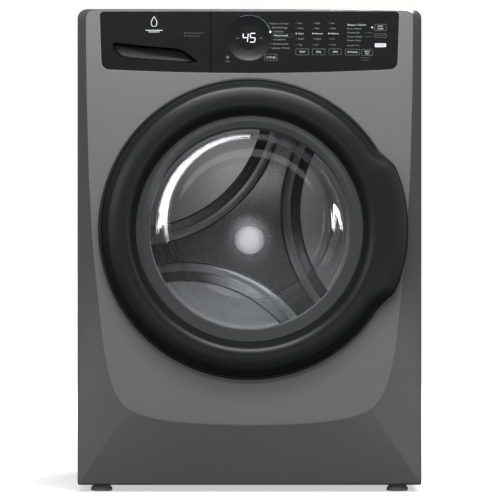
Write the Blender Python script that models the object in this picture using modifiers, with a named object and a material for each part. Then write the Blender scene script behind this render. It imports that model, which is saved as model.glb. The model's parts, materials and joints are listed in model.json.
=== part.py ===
"""Front load washing machine, as separate pieces around the door's and the drum's axes.

Metres, +Z up, -Y to the front. The origin is on the floor, under the middle of the machine.
Run with: blender --background --python part.py
"""
import math

import bmesh
import bpy
from mathutils import Matrix, Vector

# ---- Driving dimensions ------------------------------------------------------------------------
WIDTH = 0.6858              # cabinet, 27 in
HEIGHT = 0.9652             # feet wound in, 38 in
FACE_Y = -0.355             # raised face of the front panel
EDGE_Y = -0.330             # where the panel's slope meets its sides
PANEL_BACK_Y = -0.300       # rear edge of the front panel's sides
CABINET_BACK_Y = 0.385
PORT_END_Y = 0.400          # ends of the hose ports
SKIRT_Z = 0.014             # lower edge of the panels
FRONT_TOP_Z = 0.9622        # the top panel stands a little above the front panel
CORNER = 0.018              # rounded top corners of the cabinet
SHEET = 0.0015              # panel thickness
GAP = 0.0003                # between touching pieces
SEAM = 0.0015               # between neighbouring panels
MERGE = 0.00001

DOOR_Z = 0.5245             # centre of the door
TILT = 2.2                  # degrees that the drum's axis drops towards the back
OPENING_R = 0.212           # loading hole in the front panel
OPENING_LIP = 0.012         # how far the hole's edge turns in
HINGE_X = -0.292
HINGE_Y = FACE_Y - 0.0125
LATCH_X = 0.245
LATCH_Y = FACE_Y - 0.008

CONSOLE_Y = FACE_Y + 0.001  # front of the control fascia and of the drawer
CONSOLE_DEEP = 0.018
CONSOLE_TOP_Z = 0.9565
CONSOLE_SIDE_Z = 0.8415     # lower edge at its two ends
CONSOLE_SAG = 0.0078        # how much lower it is in the middle
CONSOLE_TOP_HALF = 0.2975
CONSOLE_LOW_HALF = 0.2945
CONSOLE_SEAM_X = -0.0768    # between the drawer and the fascia
DISPLAY_X = -0.001
DISPLAY_Z = 0.9045
DISPLAY_R = 0.0375

TUB_R = 0.309
DRUM_R = 0.280
DRUM_FRONT = 0.092          # depths along the tilted axis, from the front panel's face
DRUM_BACK = 0.548
PULLEY_R = 0.150
MOTOR_PULLEY_R = 0.0125     # a twelfth of the drum pulley
PULLEY_FRONT = 0.675
PULLEY_WIDE = 0.025
MOTOR_DROP = 0.375          # motor's axis below the drum's
BELT_THICK = 0.003

SUSPENSION_Y = -0.100
SPRING_X = 0.300
DAMPER_X = 0.210
FOOT_X = 0.2965
FOOT_YS = (-0.285, 0.340)
FLOOR_Z = 0.016             # underside of the base tray
FLOOR_THICK = 0.002
BASE_HALF = 0.340
PUMP_Y = -0.250
PUMP_Z = 0.085
SUMP_Y = -0.200

BIG = 36                    # facets round the drum and the door
SMALL = 20                  # facets round the small turned pieces
LIFTER_ANGLES = (69, 189, 309)

# Keys: name, centre x, centre z, width, height
KEYS = (
    ("key_cycles", 0.0425, 0.8652, 0.0258, 0.0138),
    ("key_temp", 0.1048, 0.8762, 0.0270, 0.0134),
    ("key_soil", 0.1375, 0.8762, 0.0268, 0.0134),
    ("key_spin", 0.1702, 0.8762, 0.0264, 0.0134),
    ("key_options", 0.2046, 0.8756, 0.0300, 0.0132),
    ("key_delay", 0.2338, 0.8748, 0.0230, 0.0132),
    ("key_start", 0.2602, 0.9246, 0.0242, 0.0142),
    ("key_cancel", 0.2602, 0.9083, 0.0242, 0.0086),
    ("key_power", 0.2602, 0.8893, 0.0242, 0.0094),
)
KEY_DEEP = 0.006
KEY_POCKET = 0.009

# Finish: colour, roughness, metallic
FINISHES = {
    "paint": ((0.23, 0.235, 0.24), 0.42, 0.6),
    "black_gloss": ((0.012, 0.012, 0.013), 0.12, 0.0),
    "dark_trim": ((0.028, 0.029, 0.031), 0.38, 0.0),
    "glass": ((0.55, 0.58, 0.60), 0.05, 0.0),
    "steel": ((0.62, 0.63, 0.64), 0.28, 1.0),
    "cast": ((0.45, 0.46, 0.47), 0.55, 0.9),
    "rubber": ((0.16, 0.165, 0.17), 0.70, 0.0),
    "plastic": ((0.60, 0.61, 0.62), 0.50, 0.0),
    "grey_plastic": ((0.25, 0.26, 0.27), 0.50, 0.0),
    "concrete": ((0.42, 0.41, 0.40), 0.90, 0.0),
    "blue_plastic": ((0.05, 0.12, 0.40), 0.45, 0.0),
    "red_plastic": ((0.42, 0.04, 0.04), 0.45, 0.0),
}


# ---- Scene helpers -----------------------------------------------------------------------------
def clear_scene():
    for old in list(bpy.data.objects):
        bpy.data.objects.remove(old, do_unlink=True)


def new_collection(name):
    group = bpy.data.collections.new(name)
    bpy.context.scene.collection.children.link(group)
    return group


clear_scene()
PARTS = new_collection("front_load_washer")
CUTTERS = new_collection("cutters")


def surface(name, finish):
    """The material of one piece."""
    colour, roughness, metallic = FINISHES[finish]
    material = bpy.data.materials.new(name)
    material.use_nodes = True
    shader = material.node_tree.nodes["Principled BSDF"]
    shader.inputs["Base Color"].default_value = (*colour, 1)
    shader.inputs["Roughness"].default_value = roughness
    shader.inputs["Metallic"].default_value = metallic
    return material


def add_piece(name, mesh, finish, frame):
    """Link a mesh as a named piece, or as a hidden tool when it has no finish."""
    piece = bpy.data.objects.new(name, mesh)
    piece.matrix_basis = frame
    if finish is None:
        CUTTERS.objects.link(piece)
        piece.hide_render = True
        piece.display_type = "WIRE"
        return piece
    PARTS.objects.link(piece)
    mesh.materials.append(surface(name, finish))
    mesh.shade_smooth()
    mesh.set_sharp_from_angle(angle=math.radians(35))
    return piece


def backward(x, y, z, tilt=0.0):
    """A frame whose Z points to the back of the machine and whose Y points down."""
    turn = Matrix.Rotation(math.radians(-90 - tilt), 4, "X")
    return Matrix.Translation((x, y, z)) @ turn


def sideways(x, y, z):
    """A frame whose Z points to the right."""
    return Matrix.Translation((x, y, z)) @ Matrix.Rotation(math.radians(90), 4, "Y")


WORLD = Matrix()
CABINET = backward(0, 0, 0)
DOOR = backward(0, FACE_Y, DOOR_Z)
TUB = backward(0, FACE_Y, DOOR_Z, TILT)


def joint_axis(name, frame):
    """An empty on a joint's axis, which the moving pieces hang on."""
    empty = bpy.data.objects.new(name, None)
    empty.empty_display_size = 0.03
    empty.matrix_basis = frame
    CUTTERS.objects.link(empty)
    empty.hide_render = True
    return empty


def hang(axis, *pieces):
    """Parent pieces to a joint's empty without moving them."""
    for piece in pieces:
        piece.parent = axis
        piece.matrix_parent_inverse = axis.matrix_basis.inverted()


# ---- Outline helpers ---------------------------------------------------------------------------
def arc(x, up, radius, start, end, steps):
    """Points round part of a circle, angles in degrees."""
    angles = [math.radians(start + (end - start) * i / steps) for i in range(steps + 1)]
    return [(x + radius * math.cos(a), up + radius * math.sin(a)) for a in angles]


def circle(x, up, radius, steps=SMALL):
    return arc(x, up, radius, 0, 360, steps)[:-1]


def rectangle(x0, x1, low, high):
    return [(x0, low), (x1, low), (x1, high), (x0, high)]


def rounded(x, up, wide, high, radius, steps=1):
    """A rectangle with rounded corners."""
    dx, dz = wide / 2 - radius, high / 2 - radius
    corners = ((dx, -dz, -90), (dx, dz, 0), (-dx, dz, 90), (-dx, -dz, 180))
    return [p for cx, cz, a in corners for p in arc(x + cx, up + cz, radius, a, a + 90, steps)]


def cabinet_outline(half, low, high, top_radius, low_radius):
    """The cabinet seen from the front, counter-clockwise from its lower right corner."""
    lower = arc(half - low_radius, low + low_radius, low_radius, -90, 0, 2)
    upper = arc(half - top_radius, high - top_radius, top_radius, 0, 90, 5)
    right = lower + upper
    return right + [(-x, z) for x, z in reversed(right)]


def console_edge(x):
    """Height of the console's lower edge, which sags towards the middle."""
    return CONSOLE_SIDE_Z - CONSOLE_SAG * (1 - (x / CONSOLE_LOW_HALF) ** 2)


def console_outline(left=None, right=None, grow=0.0):
    """The console between two x positions; an end that isn't given is the rounded one."""
    low_r, top_r = 0.016 + grow, 0.008 + grow
    low_x = CONSOLE_LOW_HALF + grow - low_r
    top_x = CONSOLE_TOP_HALF + grow - top_r
    top_z = CONSOLE_TOP_Z + grow
    x0 = -low_x if left is None else left
    x1 = low_x if right is None else right
    steps = 10
    outline = [] if left is not None else arc(x0, console_edge(x0) - grow + low_r, low_r, 180, 262, 3)
    for i in range(steps + 1):
        x = x0 + (x1 - x0) * i / steps
        outline.append((x, console_edge(x) - grow))
    if right is None:
        outline += arc(x1, console_edge(x1) - grow + low_r, low_r, 278, 360, 3)
        outline += arc(top_x, top_z - top_r, top_r, 0, 90, 3)
    else:
        outline.append((x1, top_z))
    outline += arc(-top_x, top_z - top_r, top_r, 90, 180, 3) if left is None else [(x0, top_z)]
    return outline


# ---- Shape helpers -----------------------------------------------------------------------------
def block(name, low, high, finish=None):
    """A box between two corners."""
    work = bmesh.new()
    bmesh.ops.create_cube(work, size=1.0)
    bmesh.ops.scale(work, vec=[b - a for a, b in zip(low, high)], verts=work.verts)
    bmesh.ops.translate(work, vec=[(a + b) / 2 for a, b in zip(low, high)], verts=work.verts)
    return from_bmesh(name, work, finish, WORLD)


def rod(name, radius, low, high, finish=None, frame=WORLD, steps=SMALL):
    """A round bar along the frame's Z."""
    work = bmesh.new()
    bmesh.ops.create_cone(work, cap_ends=True, segments=steps, radius1=radius, radius2=radius,
                          depth=high - low)
    bmesh.ops.translate(work, vec=(0, 0, (low + high) / 2), verts=work.verts)
    return from_bmesh(name, work, finish, frame)


def from_bmesh(name, work, finish, frame):
    mesh = bpy.data.meshes.new(name)
    work.to_mesh(mesh)
    work.free()
    return add_piece(name, mesh, finish, frame)


def turned(name, profile, finish, frame=WORLD, steps=SMALL):
    """Turn a (radius, along) outline about the frame's Z. One that starts on the axis stays open."""
    solid = profile[0][0] == 0
    following = profile[1:] + profile[:1]
    area = sum(a[0] * b[1] - b[0] * a[1] for a, b in zip(profile, following))
    points = profile if area < 0 else profile[::-1]
    count = len(points)
    edges = [(i, (i + 1) % count) for i in range(count - 1 if solid else count)]
    mesh = bpy.data.meshes.new(name)
    mesh.from_pydata([(r, 0, z) for r, z in points], edges, [])
    piece = add_piece(name, mesh, finish, frame)
    turn = piece.modifiers.new("turn", "SCREW")
    turn.axis = "Z"
    turn.steps = turn.render_steps = steps
    turn.use_merge_vertices = True
    turn.merge_threshold = MERGE
    turn.use_smooth_shade = True
    return piece


def from_curve(name, curve, finish, frame):
    """Make a curve into a mesh with its caps welded, and drop the curve."""
    guide = bpy.data.objects.new(name + "_curve", curve)
    CUTTERS.objects.link(guide)
    guide.matrix_basis = frame
    evaluated = guide.evaluated_get(bpy.context.evaluated_depsgraph_get())
    mesh = bpy.data.meshes.new_from_object(evaluated)
    bpy.data.objects.remove(guide)
    work = bmesh.new()
    work.from_mesh(mesh)
    bmesh.ops.remove_doubles(work, verts=work.verts, dist=MERGE)
    bmesh.ops.recalc_face_normals(work, faces=work.faces)
    return from_bmesh(name, work, finish, frame)


def plate(name, outlines, front, back, finish=None, frame=CABINET):
    """Extrude (x, up) outlines from one depth of the frame to another; a second one is a hole."""
    curve = bpy.data.curves.new(name, "CURVE")
    curve.dimensions = "2D"
    curve.fill_mode = "BOTH"
    curve.extrude = (back - front) / 2
    for outline in outlines:
        spline = curve.splines.new("POLY")
        spline.points.add(len(outline) - 1)
        for point, (x, up) in zip(spline.points, outline):
            point.co = (x, -up, 0, 1)
        spline.use_cyclic_u = True
    return from_curve(name, curve, finish, frame @ Matrix.Translation((0, 0, (front + back) / 2)))


def tube(name, points, radius, finish):
    """A round wire or hose along world points."""
    curve = bpy.data.curves.new(name, "CURVE")
    curve.dimensions = "3D"
    curve.bevel_depth = radius
    curve.bevel_resolution = 2
    curve.use_fill_caps = True
    spline = curve.splines.new("POLY")
    spline.points.add(len(points) - 1)
    for point, place in zip(spline.points, points):
        point.co = (*place, 1)
    return from_curve(name, curve, finish, WORLD)


def loft(name, rings, finish, closed=True):
    """Skin rings of points. A ring of one point is a pole; a closed stack ends where it started."""
    work = bmesh.new()
    loops = [[work.verts.new(p) for p in ring] for ring in rings]
    pairs = list(zip(loops, loops[1:])) + ([(loops[-1], loops[0])] if closed else [])
    for outer, inner in pairs:
        count = max(len(outer), len(inner))
        for i in range(count if count > 1 else 0):
            j = (i + 1) % count
            here, there = (outer[i % len(outer)], outer[j % len(outer)]), (
                inner[j % len(inner)], inner[i % len(inner)])
            work.faces.new(list(dict.fromkeys(here + there)))
    if closed:
        bmesh.ops.recalc_face_normals(work, faces=work.faces)
    return from_bmesh(name, work, finish, WORLD)


def polar(frame, radius, angle, depth):
    """A point round a backward frame's axis; the angle is as seen from the front."""
    turn = math.radians(angle)
    return frame @ Vector((radius * math.cos(turn), -radius * math.sin(turn), depth))


def combine(piece, operation, tools):
    for tool in tools:
        step = piece.modifiers.new(tool.name, "BOOLEAN")
        step.operation = operation
        step.object = tool
    return piece


def cut(piece, *tools):
    return combine(piece, "DIFFERENCE", tools)


def fuse(piece, *tools):
    return combine(piece, "UNION", tools)


# ---- Cabinet -----------------------------------------------------------------------------------
# Right half of the raised face's outline, from the bottom middle up to the top corner
RAISED_EDGE = (
    (0.100, 0.138), (0.160, 0.1435), (0.203, 0.151), (0.238, 0.165), (0.260, 0.185), (0.276, 0.223),
    (0.289, 0.283), (0.301, 0.390), (0.312, 0.500), (0.319, 0.630), (0.3235, 0.800), (0.325, 0.945),
    (0.3225, 0.953), (0.314, 0.959),
)


def raised_outline():
    """The raised face, counter-clockwise from the bottom middle."""
    right = list(RAISED_EDGE)
    return [(0, 0.135)] + right + [(-x, z) for x, z in reversed(right)]


def reach(outline, angle):
    """How far an outline is from the door's centre in one direction, in degrees."""
    ux, uz = math.cos(math.radians(angle)), math.sin(math.radians(angle))
    far = 0.0
    for (x1, z1), (x2, z2) in zip(outline, outline[1:] + outline[:1]):
        side1 = ux * (z1 - DOOR_Z) - uz * x1
        side2 = ux * (z2 - DOOR_Z) - uz * x2
        if side1 * side2 <= 0 and side1 != side2:
            share = side1 / (side1 - side2)
            x, z = x1 + share * (x2 - x1), z1 - DOOR_Z + share * (z2 - z1)
            far = max(far, x * ux + z * uz)
    return far


def panel_directions(*outlines):
    """Angles for the front panel's rings: every outline corner, filled up with even steps."""
    angles = []
    for outline in outlines:
        for x, z in outline:
            angle = math.degrees(math.atan2(z - DOOR_Z, x)) % 360
            if all(abs(angle - other) > 0.25 for other in angles):
                angles.append(angle)
    for step in range(BIG):
        angle = 360 * step / BIG
        if all(min(abs(angle - other), 360 - abs(angle - other)) > 3 for other in angles):
            angles.append(angle)
    return sorted(angles)


def front_panel():
    rim = cabinet_outline(WIDTH / 2, SKIRT_Z, FRONT_TOP_Z, CORNER, 0.004)
    face = raised_outline()
    angles = panel_directions(face, rim)

    def ring(y, distance):
        return [(distance(a) * math.cos(math.radians(a)), y,
                 DOOR_Z + distance(a) * math.sin(math.radians(a))) for a in angles]

    rings = [ring(PANEL_BACK_Y, lambda a: reach(rim, a)), ring(EDGE_Y, lambda a: reach(rim, a)),
             ring(FACE_Y, lambda a: reach(face, a)), ring(FACE_Y, lambda a: OPENING_R),
             ring(FACE_Y + OPENING_LIP, lambda a: OPENING_R)]
    panel = loft("front_panel", rings, "paint", closed=False)
    skin = panel.modifiers.new("sheet", "SOLIDIFY")
    skin.thickness = SHEET
    skin.offset = -1
    skin.use_even_offset = True
    console = plate("console_hole", [console_outline(grow=0.0005)], FACE_Y - 0.01, FACE_Y + 0.012)
    slot = block("latch_slot", (LATCH_X - 0.0085, FACE_Y - 0.01, DOOR_Z - 0.0165),
                 (LATCH_X + 0.0085, FACE_Y + 0.01, DOOR_Z + 0.0165))
    return cut(panel, console, slot)


def cabinet_shell():
    half, inner = WIDTH / 2, WIDTH / 2 - SHEET
    skirt, shoulder = 0.935, 0.9335
    front, back = PANEL_BACK_Y + SEAM, CABINET_BACK_Y - SHEET - GAP
    for side, name in ((-1, "left_side_panel"), (1, "right_side_panel")):
        sheet = [(half, SKIRT_Z), (half, shoulder), (0.305, shoulder), (0.305, shoulder - SHEET),
                 (inner, shoulder - SHEET), (inner, SKIRT_Z)]
        plate(name, [[(side * x, z) for x, z in sheet]], front, back, "paint")
    outside = [(half, skirt)] + arc(half - CORNER, HEIGHT - CORNER, CORNER, 0, 90, 6)
    inside = [(inner, skirt)] + arc(half - CORNER, HEIGHT - CORNER, CORNER - SHEET, 0, 90, 6)
    tray = outside + [(-x, z) for x, z in reversed(outside)]
    tray += [(-x, z) for x, z in inside] + [(x, z) for x, z in reversed(inside)]
    plate("top_panel", [tray], front, back, "paint")


HOT_VALVE = (0.200, 0.880)
COLD_VALVE = (0.250, 0.880)
DRAIN_PORT = (-0.200, 0.860)
CORD_PORT = (-0.280, 0.800)


def rear_panel():
    outline = cabinet_outline(WIDTH / 2, SKIRT_Z + 0.002, HEIGHT, CORNER, 0.004)
    ports = ((HOT_VALVE, 0.0145), (COLD_VALVE, 0.0145), (DRAIN_PORT, 0.0172), (CORD_PORT, 0.0130))
    holes = [circle(x, z, radius, 16) for (x, z), radius in ports]
    plate("rear_panel", [outline] + holes, CABINET_BACK_Y - SHEET, CABINET_BACK_Y, "paint")


def base_frame():
    front, back, high = PANEL_BACK_Y + 0.004, CABINET_BACK_Y - 0.003, 0.075
    wall = 0.002
    tray = block("base_frame", (-BASE_HALF, front, FLOOR_Z), (BASE_HALF, back, high), "paint")
    inside = block("base_inside", (wall - BASE_HALF, front + wall, FLOOR_Z + FLOOR_THICK),
                   (BASE_HALF - wall, back - wall, high + 0.01))
    holes = [rod(f"foot_hole_{i}", 0.0065, FLOOR_Z - 0.01, FLOOR_Z + 0.01, None,
                 Matrix.Translation((x, y, 0)), 16)
             for i, (x, y) in enumerate((sx * FOOT_X, y) for y in FOOT_YS for sx in (-1, 1))]
    cut(tray, inside, *holes)


def feet():
    """Levelling feet: a rubber-shod pad on a screwed stem."""
    pad = [(0, 0), (0.0215, 0), (0.0215, 0.009), (0.017, 0.012), (0.005, 0.012), (0.005, 0.050),
           (0, 0.050)]
    places = (("foot_front_left", -1, 0), ("foot_front_right", 1, 0),
              ("foot_rear_left", -1, 1), ("foot_rear_right", 1, 1))
    for name, side, row in places:
        place = Matrix.Translation((side * FOOT_X, FOOT_YS[row], 0))
        hang(joint_axis(name + "_axis", place), turned(name, pad, "rubber", place, 14))


# ---- Console -----------------------------------------------------------------------------------
def control_fascia():
    fascia = plate("control_fascia", [console_outline(left=CONSOLE_SEAM_X + SEAM / 2)], CONSOLE_Y,
                   CONSOLE_Y + CONSOLE_DEEP, "black_gloss")
    display = backward(DISPLAY_X, CONSOLE_Y, DISPLAY_Z)
    floor, lens_deep = 0.0058, 0.003
    dish = turned("display_dish", [(0, floor), (DISPLAY_R + 0.001, floor), (0.0455, 0),
                                   (0.0490, -0.003), (0, -0.003)], None, display)
    cut(fascia, dish)
    turned("display_lens", [(0, floor - GAP), (DISPLAY_R, floor - GAP),
                            (DISPLAY_R, floor - lens_deep + 0.0006), (0.0368, floor - lens_deep),
                            (0, floor - lens_deep)], "black_gloss", display)
    for name, x, z, wide, high in KEYS:
        pocket = rounded(x, z, wide + 2 * GAP, high + 2 * GAP, 0.0023)
        cut(fascia, plate(name + "_pocket", [pocket], CONSOLE_Y - 0.005, CONSOLE_Y + KEY_POCKET))
        key = plate(name, [rounded(x, z, wide, high, 0.002)], CONSOLE_Y - 0.0002,
                    CONSOLE_Y + KEY_DEEP, "black_gloss")
        hang(joint_axis(name + "_axis", Matrix.Translation((x, CONSOLE_Y, z))), key)


# Outline of the grip scooped out of the drawer's front
SCOOP = (
    (-0.273, 0.896), (-0.226, 0.890), (-0.180, 0.886), (-0.147, 0.8835), (-0.130, 0.879),
    (-0.101, 0.8555), (-0.130, 0.8537), (-0.194, 0.858), (-0.240, 0.862), (-0.259, 0.867),
    (-0.270, 0.881),
)
SCOOP_DEEP = 0.014
TRAY_X = (-0.285, -0.090)    # detergent tray, from side to side
TRAY_BACK_Y = -0.137
TRAY_FLOOR_Z = 0.857
TRAY_TOP_Z = 0.915
HOUSING_LOW = (-0.292, 0.850)   # dispenser housing, (x, z) of two corners
HOUSING_HIGH = (-0.082, 0.945)
HOUSING_BACK_Y = -0.1225


def detergent_drawer():
    axis = joint_axis("drawer_axis", Matrix.Translation((-0.187, CONSOLE_Y, 0.885)))
    back = CONSOLE_Y + CONSOLE_DEEP
    front = plate("drawer_front", [console_outline(right=CONSOLE_SEAM_X - SEAM / 2)], CONSOLE_Y,
                  back, "black_gloss")
    cut(front, plate("scoop", [list(SCOOP)], CONSOLE_Y - 0.005, CONSOLE_Y + SCOOP_DEEP))
    tray = block("drawer_tray", (TRAY_X[0], back + GAP, TRAY_FLOOR_Z),
                 (TRAY_X[1], TRAY_BACK_Y, TRAY_TOP_Z), "plastic")
    wall, pockets = 0.002, 3
    pitch = (TRAY_X[1] - TRAY_X[0] - wall) / pockets
    for i in range(pockets):
        left = TRAY_X[0] + wall + i * pitch
        low = (left, back + GAP + wall, TRAY_FLOOR_Z + wall)
        cut(tray, block(f"tray_pocket_{i}", low, (left + pitch - wall, TRAY_BACK_Y - wall,
                                                  TRAY_TOP_Z + 0.01)))
    hang(axis, front, tray)


def dispenser_housing():
    front = CONSOLE_Y + CONSOLE_DEEP + 0.001
    low = (HOUSING_LOW[0], front, HOUSING_LOW[1])
    high = (HOUSING_HIGH[0], HOUSING_BACK_Y, HOUSING_HIGH[1])
    wall = 0.002
    housing = block("dispenser_housing", low, high, "grey_plastic")
    cut(housing, block("housing_inside", (low[0] + wall, low[1] - 0.01, low[2] + wall),
                       (high[0] - wall, high[1] - wall, high[2] - wall)))


# ---- Door --------------------------------------------------------------------------------------
# Bezel cross-section as (radius, depth) round the door, and the same points on the handle side
BEZEL_SECTION = (
    (0.2243, -0.0185), (0.2360, -0.0395), (0.2480, -0.0450), (0.2640, -0.0430), (0.2790, -0.0350),
    (0.2885, -0.0205), (0.2985, -0.0190), (0.2997, -0.0170), (0.2997, -0.0130), (0.2997, -0.0090),
    (0.2997, -0.0045), (0.2967, -0.0045), (0.2967, -0.0160), (0.2850, -0.0180), (0.2630, -0.0400),
    (0.2490, -0.0420), (0.2385, -0.0370), (0.2273, -0.0185),
)
HANDLE_SECTION = (
    (0.2243, -0.0185), (0.2360, -0.0395), (0.2480, -0.0450), (0.2700, -0.0445), (0.2900, -0.0420),
    (0.3110, -0.0350), (0.3140, -0.0320), (0.3144, -0.0300), (0.3105, -0.0275), (0.2915, -0.0320),
    (0.2885, -0.0045), (0.2855, -0.0045), (0.2855, -0.0300), (0.2830, -0.0365), (0.2630, -0.0400),
    (0.2490, -0.0420), (0.2385, -0.0370), (0.2273, -0.0185),
)
HANDLE_SPAN = (24.0, 33.0)   # degrees either side of level where the handle fades into the ring


def handle_share(angle):
    """1 along the handle, 0 round the rest of the ring, with a soft change between."""
    away = min(angle % 360, 360 - angle % 360)
    start, end = HANDLE_SPAN
    share = min(max((end - away) / (end - start), 0), 1)
    return share * share * (3 - 2 * share)


def door_bezel():
    near = [-33, -30, -28.5, -27, -24, -12, 0, 12, 24, 27, 28.5, 30, 33]
    angles = near + [33 + (360 - 66) * i / 30 for i in range(1, 30)]
    rings = []
    for plain, grip in zip(BEZEL_SECTION, HANDLE_SECTION):
        ring = []
        for angle in angles:
            share = handle_share(angle)
            radius, depth = (a + share * (b - a) for a, b in zip(plain, grip))
            ring.append(polar(DOOR, radius, angle, depth))
        rings.append(ring)
    bezel = loft("door_bezel", rings, "dark_trim")
    return cut(bezel, hinge_pocket("bezel_hinge_pocket", -0.258, -0.0168, 0.06))


def hinge_pocket(name, right, front, half):
    """Room for the hinge in the back of the door."""
    return block(name, (-0.31, FACE_Y + front, DOOR_Z - half), (right, FACE_Y + 0.01, DOOR_Z + half))


def door_inner_ring():
    section = [(0.2070, -0.0040), (0.2820, -0.0040), (0.2820, -0.0165), (0.2330, -0.0165),
               (0.2240, -0.0138), (0.2150, -0.0120), (0.2070, -0.0080)]
    ring = turned("door_inner_ring", section, "grey_plastic", DOOR, BIG)
    arm_room = block("arm_room", (-0.31, FACE_Y - 0.0195, DOOR_Z - 0.0295),
                     (-0.232, FACE_Y - 0.0117, DOOR_Z + 0.0295))
    latch_room = block("latch_room", (LATCH_X - 0.009, FACE_Y - 0.0125, DOOR_Z - 0.019),
                       (LATCH_X + 0.009, FACE_Y + 0.01, DOOR_Z + 0.019))
    return cut(ring, hinge_pocket("ring_hinge_pocket", -0.258, -0.0195, 0.06), arm_room, latch_room)


GLASS_THICK = 0.004
# Inside of the glass bowl as (radius, depth), from its rim to the middle of its floor
BOWL = (
    (0.2235, -0.0185), (0.2140, -0.0165), (0.2015, -0.0112), (0.1860, 0.0000), (0.1800, 0.0120),
    (0.1740, 0.0380), (0.1630, 0.1050), (0.1490, 0.1220), (0, 0.1280),
)


def bowl_lift(depth):
    """The bowl leans up: its sections rise as they go deeper."""
    if depth < 0.03:
        return 0.008 * max(depth, 0) / 0.03
    return 0.008 + 0.014 * min((depth - 0.03) / 0.087, 1)


def outset(profile, thick):
    """Move a profile's points out along its normals, to the drum's side of the glass."""
    moved = []
    for i, (radius, depth) in enumerate(profile):
        r0, d0 = profile[max(i - 1, 0)]
        r1, d1 = profile[min(i + 1, len(profile) - 1)]
        length = math.hypot(r1 - r0, d1 - d0)
        along = (d1 - d0) / length, (r0 - r1) / length
        moved.append((radius + thick * along[0] if radius else 0, depth + thick * along[1]))
    return moved


def door_glass():
    rings = []
    for profile in (list(BOWL), outset(list(BOWL), GLASS_THICK)[::-1]):
        for radius, depth in profile:
            count = BIG if radius else 1
            lift = Vector((0, 0, bowl_lift(depth)))
            rings.append([polar(DOOR, radius, 360 * i / BIG, depth) + lift for i in range(count)])
    return loft("door_glass", rings, "glass")


KNUCKLE_R = 0.004
PIN_R = 0.0025


def hinge():
    """Bracket and two knuckles on the panel, arm and one knuckle on the door, and the pin."""
    place = Matrix.Translation((HINGE_X, HINGE_Y, DOOR_Z))
    face = FACE_Y - GAP
    bracket = block("hinge_bracket", (HINGE_X + 0.0025, face - 0.0022, DOOR_Z - 0.055),
                    (-0.262, face, DOOR_Z + 0.055), "cast")
    arm = block("hinge_arm", (HINGE_X, FACE_Y - 0.016, DOOR_Z - 0.028),
                (-0.235, FACE_Y - 0.012, DOOR_Z + 0.028), "cast")
    for side in (-1, 1):
        low, high = sorted((side * 0.030, side * 0.052))
        web = block(f"web_{side}", (HINGE_X + 0.0025, HINGE_Y - 0.003, DOOR_Z + low),
                    (-0.282, face - 0.001, DOOR_Z + high))
        fuse(bracket, web, rod(f"knuckle_{side}", KNUCKLE_R, low, high, None, place, 16))
    fuse(arm, rod("knuckle_0", KNUCKLE_R, -0.028, 0.028, None, place, 16))
    bore = rod("pin_bore", PIN_R + GAP, -0.07, 0.07, None, place, 16)
    cut(bracket, bore)
    cut(arm, bore)
    return arm, rod("hinge_pin", PIN_R, -0.053, 0.053, "steel", place, 16)


def latch():
    """A sprung hook behind the handle, and the lock that it enters."""
    hook = block("latch_hook", (LATCH_X - 0.0065, FACE_Y - 0.0115, DOOR_Z - 0.015),
                 (LATCH_X + 0.0065, FACE_Y - 0.0040, DOOR_Z + 0.015), "cast")
    blade = block("blade", (LATCH_X - 0.002, FACE_Y - 0.006, DOOR_Z - 0.012),
                  (LATCH_X + 0.002, FACE_Y + 0.020, DOOR_Z + 0.012))
    barb = block("barb", (LATCH_X - 0.0055, FACE_Y + 0.014, DOOR_Z - 0.012),
                 (LATCH_X + 0.001, FACE_Y + 0.0198, DOOR_Z + 0.012))
    fuse(hook, blade, barb)
    lock = block("door_lock", (LATCH_X - 0.0105, FACE_Y + SHEET + GAP, DOOR_Z - 0.030),
                 (LATCH_X + 0.017, FACE_Y + 0.027, DOOR_Z + 0.030), "grey_plastic")
    cut(lock, block("lock_inside", (LATCH_X - 0.008, FACE_Y - 0.01, DOOR_Z - 0.017),
                    (LATCH_X + 0.0125, FACE_Y + 0.0245, DOOR_Z + 0.017)))
    return hook


def door():
    arm, pin = hinge()
    hang(joint_axis("hinge_axis", Matrix.Translation((HINGE_X, HINGE_Y, DOOR_Z))), door_bezel(),
         door_inner_ring(), door_glass(), arm, pin)
    hang(joint_axis("latch_axis", Matrix.Translation((LATCH_X, LATCH_Y, DOOR_Z))), latch())


# Gasket cross-section as (radius, depth, share): share 0 sits round the door, 1 round the tub
GASKET_SECTION = (
    (0.2085, -0.0015, 0), (0.2085, 0.0160, 0), (0.2310, 0.0280, 0.3), (0.2330, 0.0320, 0.3),
    (0.2330, 0.0580, 1), (0.2300, 0.0625, 1), (0.2165, 0.0635, 1), (0.2165, 0.0880, 1),
    (0.2130, 0.0880, 1), (0.2130, 0.0600, 1), (0.2275, 0.0590, 1), (0.2300, 0.0560, 1),
    (0.2300, 0.0340, 0.3), (0.2270, 0.0310, 0.3), (0.2050, 0.0190, 0), (0.2050, 0.0020, 0),
    (0.1975, 0.0020, 0), (0.1975, -0.0015, 0),
)


def door_gasket():
    rings = [[polar(DOOR, r, 360 * i / BIG, d).lerp(polar(TUB, r, 360 * i / BIG, d), share)
              for i in range(BIG)] for r, d, share in GASKET_SECTION]
    return loft("door_gasket", rings, "rubber")


# ---- Tub and drum ------------------------------------------------------------------------------
FLANGE_DEPTH = 0.300         # where the tub's two halves meet
FLANGE_R = 0.319
TUB_END = 0.606
HUB_END = 0.665
BEARING_R = 0.0302
SHAFT_R = 0.0175
WALL = 0.004


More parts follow.
